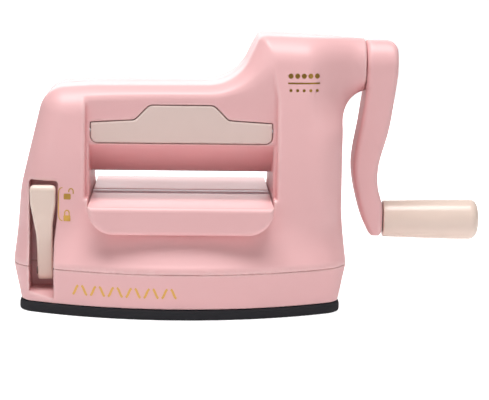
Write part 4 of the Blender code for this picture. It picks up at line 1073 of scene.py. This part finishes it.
@dataclass
class FrontFlap:
    """Cream flap that tips back over the passage."""

    half: float = 40.8
    bottom: float = 76.8
    side_top: float = 87.0
    fall: float = 1.2
    top: float = 93.7
    tab_top: float = 14.5
    tab_foot: float = 21.0
    front: float = -30.3
    thickness: float = 3.0
    pin: tuple = (-28.8, 82.4)
    pin_hole: float = 0.95
    cell: float = 0.45

    def outline(self, grow: float = 0.0, floor: float = -1e3,
                side: float = 1e3) -> list[tuple[float, float]]:
        """Outline of the flap, or of its pocket when grown.

        Args:
            grow: How far every edge moves out.
            floor: Lowest height allowed.
            side: Widest half width allowed.

        Returns:
            Points of the outline.
        """
        half, low = min(self.half + grow, side), max(self.bottom - grow, floor)
        foot = 3.0 + grow
        lean = grow * 0.4
        end, shoulder, top = self.side_top - self.fall + grow, self.side_top + grow, self.top + grow
        inner, outer = self.tab_top + lean, self.tab_foot + lean
        return round_corners([(-half, low, foot), (half, low, foot), (half, end, 0.6),
                              (outer, shoulder, 3), (inner, top, 4), (-inner, top, 4),
                              (-outer, shoulder, 3), (-half, end, 0.6)])

    def form(self, x: Array, y: Array, z: Array) -> Array:
        """Rounded plate with the pins' bores.

        Formula: the outline's distance and the thickness's distance, met with a rounded edge.

        Args:
            x: Coordinates across.
            y: Coordinates front to back.
            z: Heights.

        Returns:
            Distances of the piece.
        """
        face = outline_distance(x, z, self.outline())
        plate = smooth_max(face, slab(y, self.front, self.front + self.thickness), 0.7)
        bore = np.maximum(np.hypot(y - self.pin[0], z - self.pin[1]) - self.pin_hole,
                          self.half - 3.0 - np.abs(x))
        return np.maximum(plate, -bore)

    def build(self) -> None:
        """Meshes and dresses the flap."""
        points, faces = surface_net(self.form, (-self.half, self.front, self.bottom),
                                    (self.half, self.front + self.thickness, self.top), self.cell)
        dress(put_mesh("cream_flap", points, faces, sharp=SHARP), FLAP_CREAM, "cream_plastic", "flap",
              "front_flap")


@dataclass
class Trays:
    """Front and rear trays: deep shelves with rounded lower corners."""

    half: float = 41.2
    low: float = 38.0
    top: float = 50.5
    corner: float = 11.5
    near: float = 5.2
    far: float = 51.0
    cell: float = 0.55

    def form(self, x: Array, y: Array, z: Array) -> Array:
        """Shelf: its outline from the front, met with rounded top and front edges.

        Args:
            x: Coordinates across.
            y: Coordinates front to back.
            z: Heights.

        Returns:
            Distances of the piece.
        """
        outline = round_corners([(-self.half, self.low, self.corner), (self.half, self.low, self.corner),
                                 (self.half, self.top, 0.0), (-self.half, self.top, 0.0)], share=0.96)
        return smooth_max(outline_distance(x, z, outline), slab(y, self.near, self.far), 2.3)

    def build(self) -> None:
        """Meshes both trays, the rear one as the front one's mirror image."""
        points, faces = surface_net(self.form, (-self.half, self.near, self.low),
                                    (self.half, self.far, self.top), self.cell)
        dress(put_mesh("rear_shelf", points, faces, sharp=SHARP), BLUSH, "blush_shell", "machine",
              "rear_tray")
        mirrored = points * np.array([1.0, -1.0, 1.0])
        dress(put_mesh("front_shelf", mirrored, faces[:, ::-1], sharp=SHARP), BLUSH, "blush_shell",
              "machine", "front_tray")


@dataclass
class Base:
    """Lower shell and the black ring it stands on."""

    shell: Shell = field(default_factory=Shell)
    top: float = 20.96
    bottom: float = 4.9
    top_half: float = 76.0
    bottom_half: float = 72.0
    top_depth: float = 54.0
    bottom_depth: float = 51.1
    top_corner: float = 9.0
    bottom_corner: float = 5.0
    cell: float = 0.7
    cup_hole: float = 37.0
    floor: float = 2.0
    ring_grow: float = 0.9
    ring_cell: float = 0.8
    ring_height: float = 4.6
    lever_y: float = -26.0
    lever_z: float = 17.5
    shaft_hole: float = 2.35
    post_x: float = 48.0
    post_y: float = 22.0

    def plan(self, x: Array, y: Array, z: Array, inwards: float = 0.0) -> Array:
        """Plan of the base at each height: bowed front and back between rounded sides.

        Args:
            x: Coordinates across.
            y: Coordinates front to back.
            z: Heights.
            inwards: How far the wall lies inside the plan.

        Returns:
            Distances in plan.
        """
        share = np.clip((z - self.bottom) / (self.top - self.bottom), 0.0, 1.0)
        half = self.bottom_half + (self.top_half - self.bottom_half) * share
        deep = self.bottom_depth + (self.top_depth - self.bottom_depth) * share
        bow = 0.94 + 0.06 * share
        side = np.abs(x) - half
        front = np.abs(y) - (deep - bow * self.shell.sag(x))
        corner = self.bottom_corner + (self.top_corner - self.bottom_corner) * share
        return smooth_max(side, front, corner) + inwards

    def slot(self, x: Array, y: Array, z: Array) -> Array:
        """Foot of the lever's slot with its ramp.

        Args:
            x: Coordinates across.
            y: Coordinates front to back.
            z: Heights.

        Returns:
            Distances of the slot.
        """
        profile = [(-90, 7.4), (-38, 7.4), (-33, 9.4), (self.shell.slot_back, 9.4),
                   (self.shell.slot_back, 40), (-90, 40)]
        across = slab(x, self.shell.slot_x - self.shell.slot_half,
                      self.shell.slot_x + self.shell.slot_half - self.shell.slot_taper)
        return np.maximum(outline_distance(y, z, profile), across)

    def form(self, x: Array, y: Array, z: Array) -> Array:
        """Open tapered tray with the cup's hole, the slot's foot and the screw posts.

        Args:
            x: Coordinates across.
            y: Coordinates front to back.
            z: Heights.

        Returns:
            Distances of the piece.
        """
        outer = smooth_max(self.plan(x, y, z), slab(z, self.bottom, self.top), 0.6)
        kept = brick(x, y, z, (self.shell.slot_x - 8.0, -90, 0),
                     (self.shell.slot_x + 8.0, self.shell.slot_back + 1.5, 60))
        for u in (-self.post_x, self.post_x):
            for v in (-self.post_y, self.post_y):
                kept = np.minimum(kept, np.hypot(x - u, y - v) - self.shell.post_radius)
        hollow = np.maximum(self.plan(x, y, z, self.shell.wall), self.bottom + self.floor - z)
        hollow = np.maximum(hollow, -kept)
        body = np.maximum(outer, -hollow)
        body = carve(body, self.slot(x, y, z), 0.8)
        body = np.maximum(body, -(np.hypot(x, y) - self.cup_hole))
        shaft = np.maximum(np.hypot(y - self.lever_y, z - self.lever_z) - self.shaft_hole,
                           slab(x, self.shell.slot_x, 0))
        return np.maximum(body, -shaft)

    def ring_form(self, x: Array, y: Array, z: Array) -> Array:
        """Flat rubber ring that follows the foot of the base.

        Args:
            x: Coordinates across.
            y: Coordinates front to back.
            z: Heights.

        Returns:
            Distances of the ring.
        """
        plan = self.plan(x, y, np.full_like(z, self.bottom)) + 0.0 * z - self.ring_grow
        inner = self.cup_hole - np.hypot(x, y)
        return smooth_max(np.maximum(plan, inner), slab(z, 0.0, self.ring_height), 1.2)

    def build(self) -> None:
        """Meshes and dresses the lower shell and the ring."""
        wide = self.top_half
        points, faces = surface_net(self.form, (-wide, -self.top_depth, self.bottom),
                                    (wide, self.top_depth, self.top), self.cell)
        dress(put_mesh("lower_shell", points, faces, sharp=SHARP), BLUSH, "blush_shell", "machine",
              "base_shell")
        points, faces = surface_net(self.ring_form, (-wide, -self.top_depth, 0.0),
                                    (wide, self.top_depth, self.ring_height), self.ring_cell)
        dress(put_mesh("foot_ring", points, faces, sharp=SHARP), RUBBER, "black_rubber", "machine",
              "rubber_foot_ring")


@dataclass
class CrankHandle:
    """S-shaped crank arm and the round grip that spins on it."""

    axis: float = 111.1
    grip_axis: float = 38.4
    hub_x: float = 84.9
    hub_length: float = 14.6
    hub_radius: float = 12.1
    end_radius: float = 8.9
    waist: float = 5.1
    thickness: float = 11.8
    grip_x: float = 94.4
    grip_length: float = 44.7
    grip_radius: float = 9.5
    grip_root: float = 8.65
    shaft: float = 4.3
    hub_wall: float = 4.0
    spindle: float = 2.8
    screw: float = 1.7
    on_axis: float = 0.001
    cell: float = 0.55

    def outline(self) -> list[tuple[float, float]]:
        """Front outline of the arm: two smooth edges joined by the hub's rounded top.

        Returns:
            Points of the outline.
        """
        low, hub, end = self.grip_axis, self.hub_x, self.hub_x + self.hub_length
        foot, edge = self.grip_x - 0.4, hub + self.thickness - self.waist
        inner = through([(hub, self.axis - self.hub_radius), (hub - 2.0, low + 47),
                         (hub - self.waist, low + 25), (hub - 1.2, low + 4.4),
                         (hub + 4.4, low - self.end_radius)])
        outer = through([(foot, low - self.end_radius), (foot, low + 6), (edge, low + 16),
                         (edge + 0.2, low + 27), (end - 3.4, low + 44), (end, self.axis - 4)])
        return inner + outer + round_corners([(end, self.axis, 0), (end, self.axis + self.hub_radius, 6),
                                              (hub, self.axis + self.hub_radius, 0)])

    def form(self, x: Array, y: Array, z: Array) -> Array:
        """Arm: its front outline met with its side outline, round at the hub and at the grip.

        Args:
            x: Coordinates across.
            y: Coordinates front to back.
            z: Heights.

        Returns:
            Distances of the piece.
        """
        front = outline_distance(x, z, self.outline())
        share = np.clip((z - self.grip_axis) / (self.axis - self.grip_axis), 0, 1)
        radius = self.end_radius + (self.hub_radius - self.end_radius) * share
        side = np.hypot(y, z - (self.grip_axis + (self.axis - self.grip_axis) * share)) - radius
        arm = smooth_max(front, side, 2.6)
        cap = self.hub_x + self.hub_length - self.hub_wall
        shaft = np.maximum(np.hypot(y, z - self.axis) - self.shaft, x - cap)
        spindle = np.hypot(y, z - self.grip_axis) - self.spindle
        screw = np.maximum(np.hypot(x - self.hub_x - 7.0, z - self.axis) - self.screw, -y)
        return np.maximum(np.maximum(np.maximum(arm, -shaft), -spindle), -screw)

    def grip_profile(self) -> list[tuple[float, float]]:
        """Closed profile of the grip: gentle swell, rounded end, a shallow line near the end.

        Returns:
            Points of the profile.
        """
        start, end = self.grip_x + 0.3, self.grip_x + 0.3 + self.grip_length
        along = np.linspace(0.0, 1.0, 24)
        swell = self.grip_root + (self.grip_radius - self.grip_root) * np.sin(along * math.pi / 2) ** 1.2
        body = [(float(r), float(start + 0.8 + t * (self.grip_length - 4.8))) for r, t in zip(swell, along)]
        round_end = [(self.grip_radius - 4.0 + 4.0 * math.cos(a), end - 4.0 + 4.0 * math.sin(a))
                     for a in np.linspace(0.1, math.pi / 2, 10)]
        lip = [(self.grip_root - 0.8, start), (self.grip_root - 0.25, start + 0.2)]
        bore = [(self.spindle, start), (self.spindle, end - 5.0), (self.on_axis, end - 5.0)]
        return [(self.on_axis, end), *reversed(lip + body + round_end), *bore]

    def build(self) -> None:
        """Meshes and dresses the arm and the grip."""
        points, faces = surface_net(self.form, (self.hub_x - self.waist - 1, -self.hub_radius,
                                                self.grip_axis - self.end_radius),
                                    (self.hub_x + self.hub_length, self.hub_radius,
                                     self.axis + self.hub_radius), self.cell)
        dress(put_mesh("crank_handle_arm", points, faces, sharp=SHARP), BLUSH, "blush_shell", "crank",
              "crank_arm")
        points, faces = turned_grid(self.grip_profile(), (0.0, 0.0, self.grip_axis), "X")
        grip = outward(put_mesh("crank_handle_grip", points, faces, sharp=40))
        dress(grip, CREAM, "cream_plastic", "crank_grip", "grip")


@dataclass
class LockLever:
    """Cream lock lever: narrow at its shaft, wide and round at its tip."""

    x: float = -61.7
    width: float = 11.4
    foot: float = 6.8
    pivot: tuple = (-26.0, 17.5)
    top: float = 58.3
    tip_radius: float = 2.5
    boss: float = 4.0
    lean: float = 16.0
    cell: float = 0.4

    def form(self, x: Array, y: Array, z: Array) -> Array:
        """Blade: a bar with round ends seen from the side, met with its front outline.

        Args:
            x: Coordinates across.
            y: Coordinates front to back.
            z: Heights.

        Returns:
            Distances of the piece.
        """
        reach = self.top - self.tip_radius - self.pivot[1]
        tip = (self.pivot[0] - reach * math.tan(math.radians(self.lean)), self.top - self.tip_radius)
        du, dv = tip[0] - self.pivot[0], tip[1] - self.pivot[1]
        share = np.clip(((y - self.pivot[0]) * du + (z - self.pivot[1]) * dv) / (du * du + dv * dv), 0, 1)
        radius = self.boss + (self.tip_radius - self.boss) * share
        side = np.hypot(y - self.pivot[0] - du * share, z - self.pivot[1] - dv * share) - radius
        half, foot, low = self.width / 2, self.foot / 2, self.pivot[1] - 6
        outline = round_corners([(self.x - foot + 0.5, low, 0), (self.x + foot + 0.5, low, 0),
                                 (self.x + foot + 0.8, self.top - 18, 20),
                                 (self.x + half, self.top - 8, 12), (self.x + half, self.top + 1, 3),
                                 (self.x - half, self.top + 1, 3), (self.x - half, self.top - 8, 16),
                                 (self.x - foot + 0.3, self.top - 24, 40)])
        blade = smooth_max(outline_distance(x, z, outline), side, 1.0)
        return np.maximum(blade, -(np.hypot(y - self.pivot[0], z - self.pivot[1]) - 2.05))

    def build(self) -> None:
        """Meshes and dresses the lever."""
        points, faces = surface_net(self.form, (self.x - self.width / 2, -42, self.pivot[1] - 6),
                                    (self.x + self.width / 2, -20, self.top), self.cell)
        dress(put_mesh("lever_blade", points, faces, sharp=SHARP), CREAM, "cream_plastic", "lever",
              "lock_lever")


@dataclass
class SuctionSpring:
    """Coil spring between the yoke and the deck, pressed flatter as the cup lifts."""

    turns: int = 4
    wire: float = 0.5
    lift: float = 2.06
    stations: int = 145
    around: int = 12

    def build(self) -> None:
        """Lays the wire along a helix.

        Formula: helix point plus wire radius times (cos a, sin a) in the plane of the coil's
        radius and the height; the wire's radius is nought at both ends, which closes it.
        """
        low, high = (np.array(corner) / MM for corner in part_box("suction_spring"))
        coil = high[0] - self.wire
        share = np.linspace(0, 1, self.stations)[[0, *range(self.stations), self.stations - 1], None]
        turn = 2 * math.pi * self.turns * share
        height = low[2] + self.wire + (high[2] - low[2] - 2 * self.wire) * share
        angle = np.linspace(0, 2 * math.pi, self.around, endpoint=False)[None, :]
        wire = np.full_like(share, self.wire)
        wire[[0, -1]] = 0.0
        out = coil + wire * np.cos(angle)
        grid = np.stack([out * np.cos(turn), out * np.sin(turn), height + wire * np.sin(angle)], axis=-1)
        i, j = np.meshgrid(np.arange(len(share) - 1), np.arange(self.around), indexing="ij")
        start, after, side = i * self.around, (i + 1) * self.around, (j + 1) % self.around
        faces = np.stack([start + j, after + j, after + side, start + side], axis=-1)
        spring = outward(put_mesh("coil_spring", grid.reshape(-1, 3), faces.reshape(-1, 4)))
        dress(spring, STEEL, "bright_steel", "machine", "suction_spring")
        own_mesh(spring)


@dataclass
class GoldMarks:
    """Thin gold marks on the shell: lock signs by the lever and plain ornament elsewhere."""

    shell: Shell = field(default_factory=Shell)
    base: Base = field(default_factory=Base)
    lift: float = 0.06
    sink: float = 0.25

    def front_of(self, form: Form, x: Array, z: Array) -> Array:
        """Depth of a form's front surface at points seen from the front, by halving an interval.

        Args:
            form: Distance function of the surface.
            x: Coordinates across.
            z: Heights.

        Returns:
            Depth coordinates of the surface.
        """
        near, far = np.full(x.shape, -60.0), np.full(x.shape, -18.0)
        for _ in range(26):
            middle = (near + far) / 2
            inside = form(x, middle, z) < 0
            near, far = np.where(inside, near, middle), np.where(inside, middle, far)
        return (near + far) / 2

    def mark(self, name: str, form: Form, u: Array, v: Array) -> None:
        """Closed thin piece over a grid of front positions.

        Formula: the grid's front sheet stands proud of the surface by the lift, its back sheet
        lies under it by the sink, and the rims are joined.

        Args:
            name: Name of the piece.
            form: Form that carries the mark.
            u: Grid of positions across.
            v: Grid of heights.
        """
        y = self.front_of(form, u, v)
        front = np.stack([u, y - self.lift, v], axis=-1)
        back = np.stack([u, y + self.sink, v], axis=-1)
        loop = np.concatenate([front, back[:, ::-1]], axis=1)
        rows, columns = loop.shape[:2]
        i, j = np.meshgrid(np.arange(rows - 1), np.arange(columns), indexing="ij")
        side = (j + 1) % columns
        faces = np.stack([i * columns + j, (i + 1) * columns + j, (i + 1) * columns + side,
                          i * columns + side], axis=-1).reshape(-1, 4)
        half = columns // 2
        caps = []
        for row, flip in ((0, False), (rows - 1, True)):
            for k in range(half - 1):
                quad = [row * columns + k, row * columns + k + 1, row * columns + columns - 2 - k,
                        row * columns + columns - 1 - k]
                caps.append(quad[::-1] if flip else quad)
        sheet = put_mesh(name, loop.reshape(-1, 3), np.vstack([faces, np.array(caps)]), smooth=False)
        dress(outward(sheet), GOLD, "blush_shell", "machine")

    def stroke(self, name: str, form: Form, path: Sequence[Sequence[float]], width: float) -> None:
        """Gold line of one width along a plane path.

        Args:
            name: Name of the piece.
            form: Form that carries it.
            path: Points of the path, seen from the front.
            width: Width of the line.
        """
        p = np.array(path, float)
        tangent = np.gradient(p, axis=0)
        tangent /= np.linalg.norm(tangent, axis=1)[:, None]
        normal = np.stack([-tangent[:, 1], tangent[:, 0]], axis=1)
        across = np.linspace(-width / 2, width / 2, 3)
        grid = p[:, None, :] + normal[:, None, :] * across[None, :, None]
        self.mark(name, form, grid[..., 0], grid[..., 1])

    def disc(self, name: str, form: Form, centre: Sequence[float], radius: float) -> None:
        """Small gold dot, made of level chords.

        Args:
            name: Name of the piece.
            form: Distance function of the surface.
            centre: Middle of the sign, across and up.
            radius: Radius of the dot.
        """
        t = np.linspace(-0.98, 0.98, 9)
        across = np.linspace(-1, 1, 5)
        half = np.sqrt(1 - t ** 2) * radius
        self.mark(name, form, centre[0] + half[:, None] * across[None, :],
                  np.broadcast_to((centre[1] + t * radius)[:, None], (9, 5)).copy())

    def padlock(self, name: str, centre: Sequence[float], closed: bool) -> None:
        """Lock sign: a rounded block and a shackle, shut or swung open.

        Args:
            name: Name of the piece.
            centre: Middle of the sign, across and up.
            closed: Whether the shackle is shut.
        """
        form = self.shell.outer
        u, v = centre
        t = np.linspace(-1, 1, 7)
        half = 1.6 * (1 - 0.12 * np.abs(t) ** 6)
        self.mark(name + "_block", form, u + half[:, None] * np.linspace(-1, 1, 5)[None, :],
                  np.broadcast_to((v - 1.1 + 1.3 * t)[:, None], (7, 5)).copy())
        shift = 0.0 if closed else 1.7
        angle = np.linspace(0, math.pi, 13)
        bow = [(u + shift + 1.0 * math.cos(a), v + 1.3 + 1.2 * math.sin(a)) for a in angle]
        legs = [(u + shift + 1.0, v + 0.15), *bow, (u + shift - 1.0, v + (0.15 if closed else 0.9))]
        if not closed:
            legs = legs[::-1]
        self.stroke(name + "_shackle", form, legs, 0.55)

    def build(self) -> None:
        """Lays all the marks."""
        form = self.shell.outer
        self.padlock("open_lock", (-50.8, 54.3), False)
        self.padlock("closed_lock", (-50.9, 44.5), True)
        bracket = [(-52.9, 57.2), (-53.9, 56.9), (-54.5, 56.0), (-54.7, 54.5), *[(-54.7, h) for h in
                   np.linspace(53, 45, 9)], (-54.5, 43.4), (-53.9, 42.5), (-52.9, 42.2)]
        self.stroke("travel_line", form, bracket, 0.45)
        for index, offset in enumerate(np.linspace(-6.0, 6.0, 5)):
            self.disc(f"tower_dot_{index}", form, (54.7 + offset, 107.6), 1.15)
            self.disc(f"tower_low_dot_{index}", form, (54.7 + offset, 101.2), 0.7)
        line = [(u, 104.4) for u in np.linspace(47.4, 62.0, 32)]
        self.stroke("tower_line", form, line, 0.7)
        for index, start in enumerate(np.linspace(-48.0, -4.2, 12)):
            wave = [(start + t * 2.6, 12.3 + 2.1 * math.sin((t - 0.5) * math.pi) * (-1) ** index)
                    for t in np.linspace(0, 1, 9)]
            self.stroke(f"base_stroke_{index}", self.base.plan, wave, 1.0)


# ---------------------------------------------------------------- stage

@dataclass
class Studio:
    """Pale floor, soft light and the camera."""

    camera_place: tuple = (0.0, -0.828, 0.177)
    pitch: float = -8.95
    yaw: float = -2.06
    roll: float = 0.85
    lens: float = 131.6
    shift: tuple = (0.0, 0.0)
    aim: tuple = (0.0, 0.0, 0.06)
    world_light: float = 0.14
    glow_seen: float = 0.6
    glow_cast: float = 0.12

    def floor(self) -> None:
        """Pale floor that turns up behind the object in one smooth sweep."""
        across = np.linspace(-3.0, 3.0, 9)
        turn = np.linspace(0.1, math.pi / 2, 14)
        run = np.concatenate([np.linspace(-2.0, 1.2, 12), 1.2 + 0.8 * np.sin(turn), np.full(5, 2.0)])
        rise = np.concatenate([np.zeros(12), 0.8 - 0.8 * np.cos(turn), np.linspace(1.0, 3.0, 5)])
        points = np.stack([np.broadcast_to(across[:, None], (9, len(run))),
                           np.broadcast_to(run, (9, len(run))), np.broadcast_to(rise, (9, len(run)))],
                          axis=-1).reshape(-1, 3) / MM
        columns = len(run)
        i, j = np.meshgrid(np.arange(8), np.arange(columns - 1), indexing="ij")
        faces = np.stack([i * columns + j, (i + 1) * columns + j, (i + 1) * columns + j + 1,
                          i * columns + j + 1], axis=-1).reshape(-1, 4)
        sheet = put_mesh("studio_floor", points, faces)
        made = bpy.data.materials.new("paper_sweep")
        made.use_nodes = True
        shader = made.node_tree.nodes["Principled BSDF"]
        shader.inputs["Base Color"].default_value = srgb(248, 247, 248)
        shader.inputs["Roughness"].default_value = 0.6
        shader.inputs["Specular IOR Level"].default_value = 0.2
        shader.inputs["Emission Color"].default_value = (1.0, 1.0, 1.0, 1.0)
        seen = node(made.node_tree, "ShaderNodeLightPath").outputs["Is Camera Ray"]
        glow = math_node(made.node_tree, "MULTIPLY_ADD", seen, self.glow_seen, self.glow_cast)
        made.node_tree.links.new(glow, shader.inputs["Emission Strength"])
        sheet.data.materials.append(made)

    def light(self, name: str, place: tuple, size: tuple, power: float) -> None:
        """One soft rectangular light that faces the machine's middle.

        Args:
            name: Name of the light.
            place: Where it stands, in metres.
            size: Width and height in metres.
            power: Power in watts.
        """
        data = bpy.data.lights.new(name, "AREA")
        data.shape = "RECTANGLE"
        data.size, data.size_y = size
        data.energy = power
        lamp = bpy.data.objects.new(name, data)
        lamp.location = place
        lamp.visible_camera = False
        lamp.rotation_euler = (Vector(self.aim) - Vector(place)).to_track_quat("-Z", "Y").to_euler()
        bpy.context.scene.collection.objects.link(lamp)

    def camera(self) -> None:
        """Camera in front, a little above, looking slightly down and to the right."""
        data = bpy.data.cameras.new("camera")
        data.lens, data.sensor_width = self.lens, 36.0
        data.shift_x, data.shift_y = self.shift
        camera = bpy.data.objects.new("camera", data)
        camera.location = self.camera_place
        pitch, yaw, roll = (math.radians(a) for a in (self.pitch, self.yaw, self.roll))
        ahead = Vector((math.cos(pitch) * math.sin(-yaw), math.cos(pitch) * math.cos(yaw), math.sin(pitch)))
        turn = ahead.to_track_quat("-Z", "Y").to_matrix().to_4x4()
        camera.matrix_world = Matrix.Translation(self.camera_place) @ turn @ Matrix.Rotation(roll, 4, "Z")
        bpy.context.scene.collection.objects.link(camera)
        bpy.context.scene.camera = camera

    def build(self) -> None:
        """Sets the stage."""
        self.camera()
        self.floor()
        bpy.context.scene.view_settings.view_transform = "Standard"
        self.light("overhead", (-0.05, -0.16, 1.0), (0.8, 0.45), 11.0)
        self.light("behind", (0.0, 0.9, 0.3), (0.8, 0.4), 2.2)
        self.light("front_left", (-0.8, -1.2, 0.6), (0.9, 0.9), 1.8)
        self.light("front_right", (0.9, -1.0, 0.5), (0.8, 0.9), 1.1)
        world = bpy.data.worlds.new("studio")
        world.use_nodes = True
        world.node_tree.nodes["Background"].inputs["Color"].default_value = (1.0, 0.985, 0.98, 1.0)
        world.node_tree.nodes["Background"].inputs["Strength"].default_value = self.world_light
        bpy.context.scene.world = world


def dress_nodes() -> None:
    """Gives every node of the frame that stays visible the finish of its own slot, but the rollers a pale
    steel with painted reflection and the lever's shaft a dark steel with painted shade.
    """
    slots = {part["node"]: part["material_slot"] for part in frame["record"]["subparts"]}
    for name, piece in frame["nodes"].items():
        finish = NODE_FINISHES[slots[name]]
        # the rollers take a pale colour with painted reflection
        if name.endswith("_roller"):
            finish = PALE_ROLLER_PAINTED_REFLECTION
        # the lever's shaft takes a dark colour with painted shade
        elif name == "lever_shaft":
            finish = SHAFT_STEEL_PAINTED_SHADE
        piece.data.materials.clear()
        piece.data.materials.append(finish.material())


def main() -> None:
    """Builds the stage, then each sub-assembly in order."""
    logging.basicConfig(level=logging.INFO, format="%(name)s: %(message)s")
    Studio().build()
    dress_nodes()
    for assembly in (Shell(), Base(), Trays(), FrontFlap(), CrankHandle(), LockLever(),
                     SuctionSpring(), GoldMarks()):
        assembly.build()


if __name__ == "__main__":
    main()
